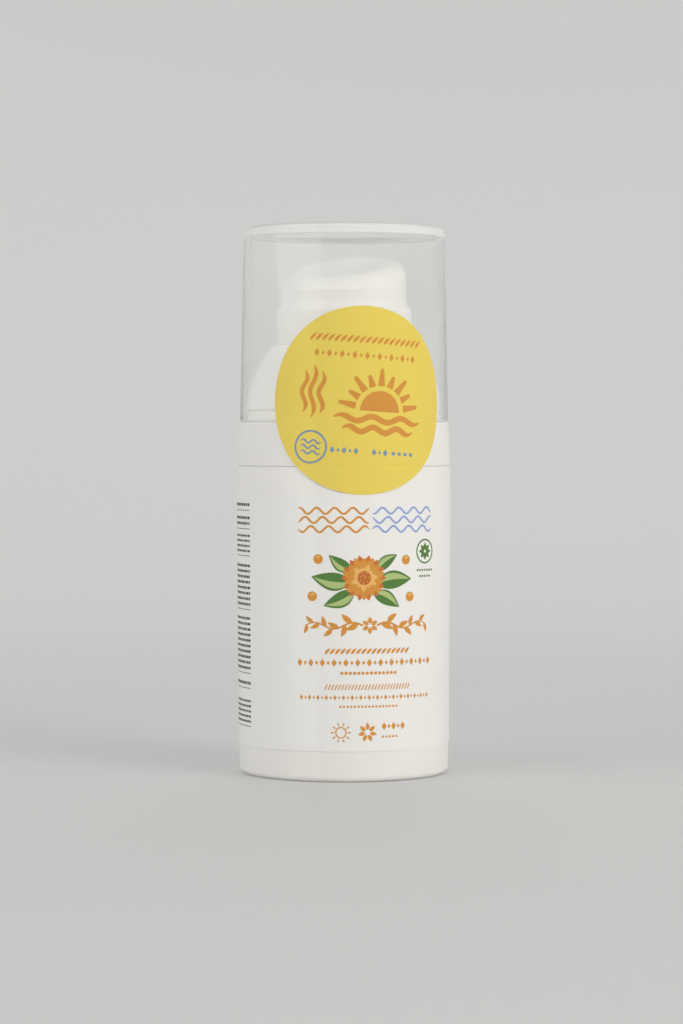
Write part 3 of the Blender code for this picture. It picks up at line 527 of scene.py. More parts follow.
def pressHeadPiece():
    dish = [
        (h["dishRadius"] * step / h["dishSteps"], h["top"] - h["dish"] * (1 - (step / h["dishSteps"]) ** 2))
        for step in range(h["dishSteps"])
    ]
    flat = h["grip"] - h["topRounding"]
    turns = (math.radians(90 * step / h["crownSteps"]) for step in range(h["crownSteps"] + 1))
    crown = [
        (flat + h["topRounding"] * math.sin(turn), h["top"] - h["topRounding"] * (1 - math.cos(turn)))
        for turn in turns
    ]
    rise = h["top"] - h["topRounding"] - h["slopeLow"]
    levels = [h["slopeLow"] + rise * step / h["gripSteps"] for step in reversed(range(h["gripSteps"]))]
    outline = rounded([
        *dish, (h["dishRadius"], h["top"], 0.5), *crown, *((h["grip"], level) for level in levels),
        (h["grip"], h["flareTop"], 0.5), (h["skirt"], h["flareLow"], 0.6), (h["skirt"], h["skirtLow"], 0.25),
        (h["skirt"] - h["wall"], h["skirtLow"], 0.25), (h["skirt"] - h["wall"], h["flareLow"], 0.3),
        (h["grip"] - h["wall"], h["flareTop"], 0.3), (h["grip"] - h["wall"], h["ceiling"] - h["ceilingBand"]),
        (h["grip"] - h["wall"], h["ceiling"], 1.0), (h["postRadius"], h["ceiling"], 0.2),
        (h["postRadius"], h["postLow"], 0.15), (h["socketOuter"], h["postLow"], 0.1),
        (h["socketOuter"], h["socketLow"], 0.2), (h["socketRadius"], h["socketLow"], 0.15),
        (h["socketRadius"], h["socketTop"], 0.1), (h["uptake"], h["socketTop"], 0.1),
        (h["uptake"], h["outletHeight"] + h["uptakeOver"], 0.1), (0, h["outletHeight"] + h["uptakeOver"]),
    ], False)
    bm = turnedMesh(outline, False)
    for vert in bm.verts:
        vert.co = sloped(vert.co)
    # The head takes the lighter copy of the white plastic, as painted light.
    return finished("press_head_shell", bm, litHeadPlastic)


def cut(piece, bm):
    # Takes a turned plug out of a finished piece, for good.
    plug = finished("plug", bm, litHeadPlastic)
    modifier = piece.modifiers.new("cut", "BOOLEAN")
    modifier.operation, modifier.object, modifier.solver = "DIFFERENCE", plug, "EXACT"
    mesh = evaluatedMesh(piece)
    piece.modifiers.remove(modifier)
    piece.data = mesh
    bpy.data.objects.remove(plug)
    mesh.shade_smooth()
    mesh.set_sharp_from_angle(angle=math.radians(making["sharp"]))


pressHead = pressHeadPiece()
seatEnd, plugEnd = h["grip"] - h["nozzleLength"] - h["seatRoom"], h["skirt"] + h["plugOver"]
seatPlug = rounded([
    (0, seatEnd), (h["nozzleSeat"], seatEnd, 0.1), (h["nozzleSeat"], plugEnd), (0, plugEnd),
], False)
cut(pressHead, outwards(turnedMesh(seatPlug, False, making["nozzleSegments"])))
onBody(pressHead, "head", "white_plastic", "press_head")

tipLow, tipHigh = h["grip"] - h["nozzleLength"], h["grip"] + h["proud"]
orificeEnd = tipHigh - h["orificeLength"]
tipOutline = rounded([
    (h["nozzleBore"], tipLow, 0.1), (h["nozzle"], tipLow, 0.15), (h["nozzle"], tipHigh, 0.22),
    (h["orifice"] + h["orificeRim"], tipHigh, 0.2), (h["orifice"], tipHigh - h["orificeDip"], 0.12),
    (h["orifice"], orificeEnd, 0.1), (h["nozzleBore"], orificeEnd, 0.1),
], True)
tipMesh = turnedMesh(tipOutline, True, making["nozzleSegments"])
nozzleTip = finished("nozzle_tip_shell", outwards(tipMesh), softPlastic)
onBody(nozzleTip, "head", "white_plastic", "nozzle_tip")

# The gate mark is a small nub in a round dimple. wallLevel and wallRadius are of a place on the slanted wall.
cap = {
    "low": 59.24, "foot": 17.62, "footRounding": 0.14, "bore": 16.5, "boreTop": 61.2, "boreRounding": 3,
    "top": 91.95, "topRadius": 16.92, "rounding": 0.9, "wall": 1.12, "ceiling": 90.25, "ceilingRounding": 0.2,
    "dimple": 2.4, "dimpleDepth": 0.25, "dimpleSlope": 0.2, "nub": 0.7, "nubSlope": 0.1,
    "wallLevel": 61, "wallRadius": 17.584,
}
p = cap
nubTop, dimpleFloor = p["top"] - p["dimpleDepth"] / 2, p["top"] - p["dimpleDepth"]
overcapShell = turned("overcap_shell", [
    (0, nubTop), (p["nub"], nubTop, 0.12), (p["nub"] + p["nubSlope"], dimpleFloor, 0.08),
    (p["dimple"] - p["dimpleSlope"], dimpleFloor, 0.2), (p["dimple"], p["top"], 0.15),
    (p["topRadius"], p["top"], p["rounding"]), (p["foot"], p["low"], p["footRounding"]),
    (p["bore"], p["low"], p["footRounding"]), (p["bore"], p["boreTop"], p["boreRounding"]),
    (p["topRadius"] - p["wall"], p["ceiling"], p["ceilingRounding"]), (0, p["ceiling"]),
], capPlastic, closed=False)
onBody(overcapShell, "cap", "clear_plastic", "overcap")
shells = (bottleShell, shoulderDome, pressHead, nozzleTip, overcapShell)
print("shells:", sum(len(piece.data.polygons) for piece in shells), "faces")


# Geometry trees for what follows a rule

def geometryTree(name, sockets):
    tree = bpy.data.node_groups.new(name, "GeometryNodeTree")
    for label, kind in sockets.items():
        tree.interface.new_socket(label, in_out="INPUT", socket_type="NodeSocket" + kind)
    tree.interface.new_socket("Geometry", in_out="OUTPUT", socket_type="NodeSocketGeometry")
    net = Net(tree)
    return net, net.node("NodeGroupInput")


def closeTree(net, geometry, finish):
    real = net.node("GeometryNodeRealizeInstances", None, {"Geometry": geometry})
    painted = net.node("GeometryNodeSetMaterial", None, {"Geometry": real, "Material": finish})
    net.node("NodeGroupOutput", None, {"Geometry": painted})
    return net.tree


def grown(tree, values):
    # Runs a tree on an empty object and gives back a plain mesh.
    holder = added("holder", bpy.data.meshes.new("holder"))
    modifier = holder.modifiers.new("tree", "NODES")
    modifier.node_group = tree
    for socket in tree.interface.items_tree:
        if socket.in_out == "INPUT":
            modifier[socket.identifier] = values[socket.name]
    bpy.context.view_layer.update()
    mesh = evaluatedMesh(holder)
    bpy.data.objects.remove(holder)
    return mesh


def springTree():
    # A helix with one closer turn at each end, as a round wire.
    net, given = geometryTree("compressionSpring", {
        "Mean Radius": "Float", "Wire Radius": "Float", "Foot": "Float", "Length": "Float", "Turns": "Float",
        "End Pitch": "Float", "Steps": "Int", "Wire Sides": "Int", "Steel": "Material",
    })
    line = net.node("GeometryNodeCurvePrimitiveLine")
    points = net.node("GeometryNodeResampleCurve", None, {"Curve": line, "Count": given["Steps"]})
    along = net.node("GeometryNodeSplineParameter")["Factor"]
    turn = along * given["Turns"]
    closed = turn.math("MINIMUM", 1) + (turn - given["Turns"] + 1).math("MAXIMUM", 0)
    openTurns = given["Turns"] - 2
    openLength = given["Length"] - 2 * given["Wire Radius"] - 2 * given["End Pitch"]
    rise = closed * given["End Pitch"] + (turn - closed) * openLength / openTurns
    angle = turn * math.tau
    place = net.combine(
        angle.math("COSINE") * given["Mean Radius"], angle.math("SINE") * given["Mean Radius"],
        given["Foot"] + given["Wire Radius"] + rise,
    )
    helix = net.node("GeometryNodeSetPosition", None, {"Geometry": points, "Position": place})
    wire = net.node("GeometryNodeCurvePrimitiveCircle", None, {
        "Resolution": given["Wire Sides"], "Radius": given["Wire Radius"],
    })
    tube = net.node("GeometryNodeCurveToMesh", None, {
        "Curve": helix, "Profile Curve": wire, "Fill Caps": True,
    })
    return closeTree(net, tube, given["Steel"])


def copyTree(net, given, place, turn, scale):
    # Copies the given flat shape to each place and closes the tree.
    points = net.node("GeometryNodePoints", None, {"Count": given["Count"], "Position": place})
    shape = net.node("GeometryNodeObjectInfo", None, {"Object": given["Shape"]})["Geometry"]
    copies = net.node("GeometryNodeInstanceOnPoints", None, {
        "Points": points, "Instance": shape, "Rotation": net.combine(z=turn), "Scale": scale,
    })
    return closeTree(net, copies, given["Ink"])


def spreadTree():
    # Copies round a centre, each turned to point outwards, every second one shorter.
    net, given = geometryTree("spreadRound", {
        "Count": "Int", "Radius": "Float", "First Turn": "Float", "Sweep": "Float", "Scale Step": "Float",
        "Shape": "Object", "Ink": "Material",
    })
    index = net.node("GeometryNodeInputIndex")
    turn = given["First Turn"] + index * given["Sweep"] / given["Count"]
    place = net.combine(turn.math("COSINE") * given["Radius"], turn.math("SINE") * given["Radius"])
    size = 1 - index.math("MODULO", 2) * given["Scale Step"]
    return copyTree(net, given, place, turn, net.combine(size, 1.0, 1.0))


def borderTree():
    # Copies in a straight row, centred, every second one smaller.
    net, given = geometryTree("borderRow", {
        "Count": "Int", "Pitch": "Float", "Scale Step": "Float", "Shape": "Object", "Ink": "Material",
    })
    index = net.node("GeometryNodeInputIndex")
    place = net.combine((index - (given["Count"] - 1) * 0.5) * given["Pitch"])
    size = 1 - index.math("MODULO", 2) * given["Scale Step"]
    return copyTree(net, given, place, 0.0, net.combine(size, size, 1.0))


def rowsTree():
    # Rows of plain dashes of varying length, ragged at the right, from the top left corner down.
    net, given = geometryTree("dashRows", {
        "Width": "Float", "Rows": "Int", "Dashes": "Int", "Pitch": "Float", "Height": "Float",
        "Shortest": "Float", "Longest": "Float", "Gap": "Float", "Ragged": "Float", "Seed": "Int",
        "Ink": "Material",
    })
    index = net.node("GeometryNodeInputIndex")
    row = (index / given["Dashes"]).math("FLOOR")
    randomFloat = {"data_type": "FLOAT"}
    length = net.node("FunctionNodeRandomValue", randomFloat, {
        "Min": given["Shortest"], "Max": given["Longest"], "ID": index, "Seed": given["Seed"],
    })
    marginSeed = given["Seed"] + 7
    margin = net.node("FunctionNodeRandomValue", randomFloat, {
        "Min": 0.0, "Max": given["Ragged"], "ID": row, "Seed": marginSeed,
    })
    start = net.node("GeometryNodeAccumulateField", {"data_type": "FLOAT"}, {
        "Value": length + given["Gap"], "Group ID": row,
    })["Trailing"]
    points = net.node("GeometryNodePoints", None, {"Count": given["Rows"] * given["Dashes"]})
    points = net.node("GeometryNodeSetPosition", None, {
        "Geometry": points, "Position": net.combine(start + length * 0.5, row * given["Pitch"] * -1),
    })
    dash = net.node("GeometryNodeMeshGrid", None, {
        "Size X": 1.0, "Size Y": 1.0, "Vertices X": 4, "Vertices Y": 2,
    })
    copies = net.node("GeometryNodeInstanceOnPoints", None, {
        "Points": points, "Instance": dash, "Selection": (start + length) < given["Width"] - margin,
        "Scale": net.combine(length, given["Height"], 1.0),
    })
    return closeTree(net, copies, given["Ink"])


spring = {
    "Mean Radius": 4.7, "Wire Radius": 0.4, "Foot": 63.334, "Length": 12.7, "Turns": 7.0, "End Pitch": 1.25,
    "Steps": 7 * 40 + 1, "Wire Sides": 16, "Steel": springSteel,
}
springMesh = bmesh.new()
springMesh.from_mesh(grown(springTree(), spring))
returnCoil = finished("return_coil", springMesh, springSteel)
onBody(returnCoil, "bottle", "steel", "return_spring")
stroke = next(joint for joint in frame["joints"] if joint["name"] == "pump_press")["range_m"][1]
spring["Foot"] * mm
1 - stroke / (spring["Length"] * mm)
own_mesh(returnCoil)
print("spring:", len(returnCoil.data.polygons), "faces")


# Films and prints on the wall

wallLevels = [
    (0, bottle["footRadius"]), (bottle["height"], bottle["radius"]), (collar["bandLow"], collar["bandFoot"]),
    (cap["wallLevel"], cap["wallRadius"]), (cap["top"], cap["topRadius"]),
]
jointDips = ((51.85, 0.05, 0.3), (59.25, 0.008, 0.3))  # height, depth and spread of each dip in the seal
filmMiddle = 0.12  # from the wall to where a film keeps its flat width
pressing = {"layer": 0.008, "cutEvery": 0.7}  # rise of each ink layer, and the width of a bent facet


def wallRadius(height, dips):
    for (low, radiusLow), (high, radiusHigh) in zip(wallLevels, wallLevels[1:]):
        if height <= high:
            radius = radiusLow + (radiusHigh - radiusLow) * (height - low) / (high - low)
            break
    if dips:
        shares = (depth * math.exp(-((height - level) / spread) ** 2) for level, depth, spread in jointDips)
        radius -= sum(shares)
    return radius


class Spot:
    # A place on the wall that flat artwork is laid on: its own centre, turn and tilt.
    def __init__(self, turn, height, tilt=0, dips=False):
        self.turn, self.height, self.dips = math.radians(turn), height, dips
        self.tilt = Matrix.Rotation(math.radians(tilt), 3, "Z")
        self.reference = wallRadius(height, False) + filmMiddle

    def at(self, point):
        flat = self.tilt @ Vector((point.x, point.y, 0))
        turn = self.turn + flat.x / self.reference
        height = self.height + flat.y
        radius = wallRadius(height, self.dips) + point.z
        return Vector((radius * math.sin(turn), -radius * math.cos(turn), height))


class Sheet:
    # Flat shapes in millimetres, with an ink each, which lay() bends round the wall as one thin piece.
    def __init__(self):
        self.bm, self.finishes = bmesh.new(), []

    def index(self, finish):
        if finish not in self.finishes:
            self.finishes.append(finish)
        return self.finishes.index(finish)

    def shape(self, points, finish, layer=0):
        face = self.bm.faces.new([self.bm.verts.new((x, y, layer)) for x, y in points])
        face.material_index = self.index(finish)

    def strip(self, left, right, finish, closed=False):
        pairs = [
            (self.bm.verts.new((*outer, 0)), self.bm.verts.new((*inner, 0)))
            for outer, inner in zip(left, right)
        ]
        for before, after in zip(pairs, pairs[1:] + (pairs[:1] if closed else [])):
            face = self.bm.faces.new((before[0], before[1], after[1], after[0]))
            face.material_index = self.index(finish)

    def mesh(self, mesh, finish, layer=0, move=(0, 0)):
        made = bmesh.new()
        made.from_mesh(mesh)
        copies = {
            vert: self.bm.verts.new((vert.co.x + move[0], vert.co.y + move[1], layer)) for vert in made.verts
        }
        for face in made.faces:
            self.bm.faces.new([copies[vert] for vert in face.verts]).material_index = self.index(finish)
        made.free()

    def sliced(self, levels):
        # Cuts the sheet into facets that are narrow enough to bend, and at each of these levels.
        bm, step = self.bm, pressing["cutEvery"]
        bmesh.ops.triangulate(bm, faces=bm.faces)
        reach = [vert.co.x for vert in bm.verts]
        first, last = math.ceil(min(reach) / step), math.floor(max(reach) / step)
        cuts = [((index * step, 0, 0), (1, 0, 0)) for index in range(first, last + 1)]
        cuts += [((0, level, 0), (0, 1, 0)) for level in levels]
        for spot, normal in cuts:
            everything = bm.verts[:] + bm.edges[:] + bm.faces[:]
            bmesh.ops.bisect_plane(bm, geom=everything, plane_co=spot, plane_no=normal)

    def lay(self, name, spot, low, high, levels=(), lining=None):
        # The sheet is solid from low to high above the wall, and each layer stands a little higher.
        self.sliced(levels)
        bm = self.bm
        made = bmesh.ops.extrude_face_region(bm, geom=bm.faces[:], use_keep_orig=True)["geom"]
        tops = {item for item in made if isinstance(item, bmesh.types.BMVert)}
        topFaces = {item for item in made if isinstance(item, bmesh.types.BMFace)}
        if lining:
            lined = self.index(lining)
            for face in bm.faces:
                if face not in topFaces and all(vert not in tops for vert in face.verts):
                    face.material_index = lined
        for vert in bm.verts:
            lift = high + vert.co.z * pressing["layer"] if vert in tops else low
            vert.co = spot.at(Vector((vert.co.x, vert.co.y, lift)))
        return finished(name, bm, self.finishes, making["filmSharp"])


def circlePoints(x, y, radius, count=64, first=0, sweep=math.tau):
    turns = (first + sweep * step / count for step in range(count + (sweep < math.tau)))
    return [(x + radius * math.cos(turn), y + radius * math.sin(turn)) for turn in turns]


def ribbon(sheet, points, widths, finish):
    # A stroke along a line of points, with its own width at each.
    left, right = [], []
    for index, point in enumerate(points):
        before, after = Vector(points[max(index - 1, 0)]), Vector(points[min(index + 1, len(points) - 1)])
        side = (after - before).normalized().orthogonal() * widths[index] / 2
        left.append(tuple(Vector(point) + side))
        right.append(tuple(Vector(point) - side))
    sheet.strip(left, right, finish)


def tapered(width, steps, growth, tip):
    # Widths of a stroke that thins to its tips.
    shares = (min(step / steps, 1 - step / steps) for step in range(steps + 1))
    return [width * min(1, growth * share + tip) for share in shares]


def levelWave(x, y, reach, height, waves, steps):
    # Points of a wave that runs level about x, y, as far as reach to each side.
    return [
        (x + reach * (2 * step / steps - 1), y + height * math.sin(step / steps * math.tau * waves))
        for step in range(steps + 1)
    ]


def ringShape(sheet, x, y, outer, width, finish, count=64):
    edges = (circlePoints(x, y, radius, count) for radius in (outer, outer - width))
    sheet.strip(*edges, finish, closed=True)


def pill(sheet, x, y, length, height, finish, corner=0.5):
    # A bar centred on x, y. corner is the radius of its corners as a share of its height.
    radius = height * corner
    points = []
    for sideX, sideY, first in ((1, 1, 0), (-1, 1, 90), (-1, -1, 180), (1, -1, 270)):
        centreX, centreY = sideX * (length / 2 - radius), sideY * (height / 2 - radius)
        points += circlePoints(centreX, centreY, radius, 6, math.radians(first), math.pi / 2)
    sheet.shape([(x + px, y + py) for px, py in points], finish)


def leafPoints(length, width, bend=0.0, steps=16):
    # A pointed leaf along X from the origin, with its belly nearer the stalk.
    sides = []
    for side in (1, -1):
        for step in range(steps + 1):
            share = step / steps if side == 1 else 1 - step / steps
            belly = math.sin(math.pi * share ** 0.8) ** 0.9 * width / 2
            sides.append((share * length, side * belly + bend * math.sin(math.pi * share)))
    return [point for index, point in enumerate(sides) if index == 0 or point != sides[index - 1]][:-1]


def placed(points, x, y, degrees):
    turn = math.radians(degrees)
    return [
        (x + px * math.cos(turn) - py * math.sin(turn), y + px * math.sin(turn) + py * math.cos(turn))
        for px, py in points
    ]


def flatShape(name, points):
    # A single flat shape that a tree copies.
    mesh = bpy.data.meshes.new(name)
    mesh.from_pydata([(x, y, 0) for x, y in points], [], [list(range(len(points)))])
    return bpy.data.objects.new(name, mesh)


def lozengePoints(width, height):
    return [(width / 2, 0), (0, height / 2), (-width / 2, 0), (0, -height / 2)]


def slashPoints(width, height, slant):
    low = [(side * width / 2 - slant, -height / 2) for side in (-1, 1)]
    high = [(side * width / 2 + slant, height / 2) for side in (1, -1)]
    return low + high


spreading, bordering, rowing = spreadTree(), borderTree(), rowsTree()


def copiesRound(sheet, shape, ink, count, radius, layer=0, move=(0, 0), first=0, sweep=360, smaller=0.0,
                size=1):
    mesh = grown(spreading, {
        "Count": count, "Radius": radius, "First Turn": math.radians(first), "Sweep": math.radians(sweep),
        "Scale Step": smaller, "Shape": shape, "Ink": inks[ink],
    })
    for vert in mesh.vertices:
        vert.co *= size
    sheet.mesh(mesh, inks[ink], layer, move)


def borders(sheet, ink, *rows):
    # Each row: its shape, count, pitch, centre x and y, and how much smaller every second copy is.
    for shape, count, pitch, x, y, smaller in rows:
        mesh = grown(bordering, {
            "Count": count, "Pitch": pitch, "Scale Step": smaller, "Shape": shape, "Ink": inks[ink],
        })
        sheet.mesh(mesh, inks[ink], 0, (x, y))


# Wrap label
label = {"low": 5.1, "high": 47.5, "seam": 1.0, "gap": 0.02, "thickness": 0.1, "corner": 0.6, "cutEvery": 3.0}
labelMiddle, labelHeight = (label["low"] + label["high"]) / 2, label["high"] - label["low"]
labelTop = label["gap"] + label["thickness"]
labelSpot = Spot(0, labelMiddle)
labelSheet = Sheet()
pill(labelSheet, 0, 0, math.tau * labelSpot.reference - label["seam"], labelHeight, labelFilm,
     label["corner"] / labelHeight)
wrapLabel = labelSheet.lay("wrap_label_film", labelSpot, label["gap"], labelTop,
                           levels=[step * label["cutEvery"] for step in range(-7, 8)])
onBody(wrapLabel, "bottle", "label_film", "wrap_label")

# Round seal. It is cut closer at the dips, by shares of their spread.
seal = {
    "radius": 15.45, "turn": -4.7, "height": 62.7, "gap": 0.13, "thickness": 0.1, "tilt": -4.0, "points": 192,
    "cutEvery": 2.0, "dipCuts": (-2, -1.4, -0.9, -0.45, 0, 0.45, 0.9, 1.4, 2),
}
sealTop = seal["gap"] + seal["thickness"]
sealSpot = Spot(seal["turn"], seal["height"], seal["tilt"], True)
plainSealSpot = Spot(seal["turn"], seal["height"], 0, True)
sealCuts = []
for level, _, spread in jointDips:
    sealCuts += [level - seal["height"] + spread * share for share in seal["dipCuts"]]
sealCuts += [step * seal["cutEvery"] for step in range(-4, 8)]
sealSheet = Sheet()
sealSheet.shape(circlePoints(0, 0, seal["radius"], seal["points"]), sealFilm)
roundSeal = sealSheet.lay("round_seal_film", plainSealSpot, seal["gap"], sealTop, sealCuts, sealBack)
onBody(roundSeal, "cap", "yellow_film", "seal_sticker")
print("films:", len(wrapLabel.data.polygons) + len(roundSeal.data.polygons), "faces")

printDepth = {"sunk": 0.01, "proud": 0.02}  # how far a print reaches into its film, and above it


def printOnSeal(name, sheet):
    piece = sheet.lay(name, sealSpot, sealTop - printDepth["sunk"], sealTop + printDepth["proud"])
    onBody(piece, "cap", "yellow_film")


def printOnLabel(name, sheet, x, height):
    # The sheet's centre lies x to the right of the label's middle, at this height.
    spot = Spot(math.degrees(x / labelSpot.reference), height)
    piece = sheet.lay(name, spot, labelTop - printDepth["sunk"], labelTop + printDepth["proud"])
    onBody(piece, "bottle", "label_film")


# Seal artwork: a half sun over two swells, rising heat beside it, two borders, and a ring with small waves
sun = {
    "x": 2.9, "y": -1.7, "disc": 3.4, "rays": 9, "rayFrom": 4.2, "rayLength": 2.7, "rayWidth": 1.2,
    "rayTip": 0.25, "rayTurn": 10, "raySmaller": 0.3,
    "swells": ((7.6, -1.3), (6.1, -3.05)), "swellHeight": 0.42, "swellStroke": 0.95,  # reach and drop of each
    "heat": ((-9.9, -2.6, 4.2), (-8.45, -3.4, 5.2), (-7.0, -2.6, 4.2)),  # x, lower and upper end of each
    "heatSway": 0.42, "heatWaves": 1.5, "heatStroke": 0.72, "heatSteps": 40,
}
sunSheet = Sheet()
sunSheet.shape(circlePoints(sun["x"], sun["y"], sun["disc"], 48, 0, math.pi), inks["orange"])
rayFoot, rayEnd = sun["rayWidth"] / 2, sun["rayWidth"] / 4
rayShape = flatShape("ray", [
    (0, -rayFoot), (sun["rayLength"], -rayEnd), (sun["rayLength"] + sun["rayTip"], 0),
    (sun["rayLength"], rayEnd), (0, rayFoot),
])
copiesRound(sunSheet, rayShape, "orange", sun["rays"], sun["rayFrom"], move=(sun["x"], sun["y"]),
            first=sun["rayTurn"], sweep=180, smaller=sun["raySmaller"])
for reach, drop in sun["swells"]:
    line = levelWave(sun["x"], sun["y"] + drop, reach, sun["swellHeight"], 3, 60)
    ribbon(sunSheet, line, tapered(sun["swellStroke"], 60, 6, 0.25), inks["orange"])
for x, low, high in sun["heat"]:
    line = []
    for step in range(sun["heatSteps"] + 1):
        sway = sun["heatSway"] * math.sin(step / sun["heatSteps"] * math.tau * sun["heatWaves"])
        line.append((x + sway, low + (high - low) * step / sun["heatSteps"]))
    ribbon(sunSheet, line, tapered(sun["heatStroke"], sun["heatSteps"], 5, 0.2), inks["orange"])
printOnSeal("seal_sun_print", sunSheet)

sealLeaf = flatShape("seal_leaf", placed(leafPoints(1.7, 0.5, 0.06, 8), -0.55, -0.62, 48))
sealLozenge = flatShape("seal_lozenge", lozengePoints(0.82, 1.3))
borderSheet = Sheet()
borders(borderSheet, "orange", (sealLeaf, 19, 1.03, 0.3, 9.9, 0.0), (sealLozenge, 17, 1.05, 0.2, 7.3, 0.45))
printOnSeal("seal_border_print", borderSheet)

ring = {
    "x": -8.1, "y": -8.2, "outer": 2.75, "stroke": 0.32, "rowLevel": -8.4,
    "waveLevels": (-7.3, -8.2, -9.1), "waveReach": 1.7, "waveHeight": 0.28, "waveStroke": 0.3,
}
sealBead = flatShape("seal_bead", circlePoints(0, 0, 0.32, 16))
smallLozenge = flatShape("small_lozenge", lozengePoints(0.8, 1.15))
ringSheet = Sheet()
ringShape(ringSheet, ring["x"], ring["y"], ring["outer"], ring["stroke"], inks["greyBlue"])
for level in ring["waveLevels"]:
    line = levelWave(ring["x"], level, ring["waveReach"], ring["waveHeight"], 2, 32)
    ribbon(ringSheet, line, tapered(ring["waveStroke"], 32, 5, 0.3), inks["greyBlue"])
borders(ringSheet, "greyBlue", (smallLozenge, 5, 0.95, -2.6, ring["rowLevel"], 0.4),
        (smallLozenge, 3, 0.95, 3.2, ring["rowLevel"], 0.4), (sealBead, 4, 1.1, 7.2, ring["rowLevel"], 0.0))
printOnSeal("seal_ring_print", ringSheet)

# Label artwork: two-tone ripples, a marigold with leaves, a ringed rosette, a garland and fine borders
ripples = {"width": 24.4, "split": 0.25, "rows": 3, "spacing": 1.5, "height": 0.5, "waves": 8, "stroke": 0.34,
           "steps": 96}
rippleSheet = Sheet()
for row in range(ripples["rows"]):
    for side, ink in ((-1, "orange"), (1, "skyBlue")):
        line = []
        for step in range(ripples["steps"] + 1):
            x = ripples["split"] + (ripples["width"] / 2 - ripples["split"]) * step / ripples["steps"]
            turn = math.tau * (ripples["waves"] / 2 * step / ripples["steps"] + row / ripples["rows"] * side)
            line.append((side * x, (row - 1) * ripples["spacing"] + ripples["height"] * math.sin(turn)))
        ribbon(rippleSheet, line, tapered(ripples["stroke"], ripples["steps"], 14, 0.35), inks[ink])
printOnLabel("label_ripple_print", rippleSheet, -0.3, 43.1)

flower = {
    "leaves": (  # x, y, turn, length and width
        (-2.2, -0.7, 172, 6.6, 3.0), (-1.6, -2.2, 205, 5.6, 2.6), (-2.0, 1.2, 146, 4.6, 2.1),
        (2.2, -0.9, 6, 6.4, 3.0), (1.6, -2.4, -28, 5.2, 2.4), (2.2, 1.2, 36, 4.4, 2.0),
    ),
    "leafBend": 0.3, "paleLength": 0.94, "paleWidth": 0.74,  # the pale half is these shares of its leaf
    "heart": 1.15, "seeds": 34, "seedTurn": 137.5, "seedSpacing": 0.19, "seedRadius": 0.085,
    "berries": ((-7.6, 3.1), (7.5, 2.9), (-8.6, -3.0), (8.3, -3.2)), "berryRadius": 0.8,
}
flowerSheet = Sheet()
for x, y, degrees, length, width in flower["leaves"]:
    flowerSheet.shape(placed(leafPoints(length, width, flower["leafBend"]), x, y, degrees), inks["leafGreen"])
    paleLength = length * flower["paleLength"]
    half = leafPoints(paleLength, width * flower["paleWidth"], flower["leafBend"])[:17]
    shares = [1 - step / 16 for step in range(1, 16)]
    rib = [(paleLength * share, flower["leafBend"] * math.sin(math.pi * share)) for share in shares]
    flowerSheet.shape(placed(half + rib, x, y, degrees), inks["paleGreen"], 1)
petal = flatShape("petal", leafPoints(2.9, 1.55, 0, 10))
copiesRound(flowerSheet, petal, "deepOrange", 14, 0.9, 2)
copiesRound(flowerSheet, petal, "orange", 14, 0.75, 3, first=13, smaller=0.12)
copiesRound(flowerSheet, petal, "paleOrange", 11, 0.35, 4, first=5, smaller=0.25, size=0.72)
flowerSheet.shape(circlePoints(0, 0, flower["heart"], 32), inks["deepOrange"], 5)
for index in range(flower["seeds"]):
    turn, reach = index * math.radians(flower["seedTurn"]), flower["seedSpacing"] * math.sqrt(index + 0.3)
    seed = circlePoints(reach * math.cos(turn), reach * math.sin(turn), flower["seedRadius"], 7)
    flowerSheet.shape(seed, inks["brown" if index % 3 else "paleOrange"], 6)
for x, y in flower["berries"]:
    flowerSheet.shape(circlePoints(x, y, flower["berryRadius"], 28), inks["orange"], 1)
    flowerSheet.shape(placed(leafPoints(0.9, 0.42, 0.08, 6), x - 0.3, y + 0.1, 28), inks["paleOrange"], 2)
printOnLabel("label_flower_print", flowerSheet, -1.4, 33.6)

greenPetal = flatShape("green_petal", leafPoints(1.22, 0.66, 0, 8))
greenBead = flatShape("green_bead", circlePoints(0, 0, 0.2, 12))
markSheet = Sheet()
ringShape(markSheet, 0, 0, 2.05, 0.26, inks["leafGreen"])
copiesRound(markSheet, greenPetal, "leafGreen", 8, 0.22)
borders(markSheet, "leafGreen", (greenBead, 7, 0.58, 0, -3.1, 0.0), (greenBead, 5, 0.58, 0, -4.1, 0.0))
printOnLabel("label_rosette_print", markSheet, 10.3, 37.8)

garland = {
    "from": 1.2, "length": 9.6, "sway": 0.5, "waves": 1.5, "stroke": 0.34, "thinning": 0.16, "steps": 60,
    "leaves": 9, "leafLength": 2.3, "leafShorter": 0.09, "leafWidth": 0.42, "leafBend": 0.1, "lean": 46,
}
g = garland


def garlandStem(side, share):
    sway = g["sway"] * math.sin(share * math.tau * g["waves"])
    return Vector((side * (g["from"] + g["length"] * share), sway))


garlandSheet = Sheet()
for side in (-1, 1):
    line = [garlandStem(side, step / g["steps"]) for step in range(g["steps"] + 1)]
    widths = [g["stroke"] - g["thinning"] * step / g["steps"] for step in range(g["steps"] + 1)]
    ribbon(garlandSheet, line, widths, inks["orange"])
    for step in range(g["leaves"]):
        share = (step + 0.7) / g["leaves"]
        along = garlandStem(side, share + 0.01) - garlandStem(side, share - 0.01)
        lean = math.degrees(math.atan2(along.y, along.x)) + side * (g["lean"] if step % 2 else -g["lean"])
        length = g["leafLength"] - g["leafShorter"] * step
        leaf = leafPoints(length, length * g["leafWidth"], g["leafBend"], 10)
        garlandSheet.shape(placed(leaf, *garlandStem(side, share), lean), inks["orange"])
copiesRound(garlandSheet, flatShape("blossom", leafPoints(1.15, 0.72, 0, 8)), "orange", 6, 0.3, first=30)
printOnLabel("label_garland_print", garlandSheet, -0.4, 25.8)

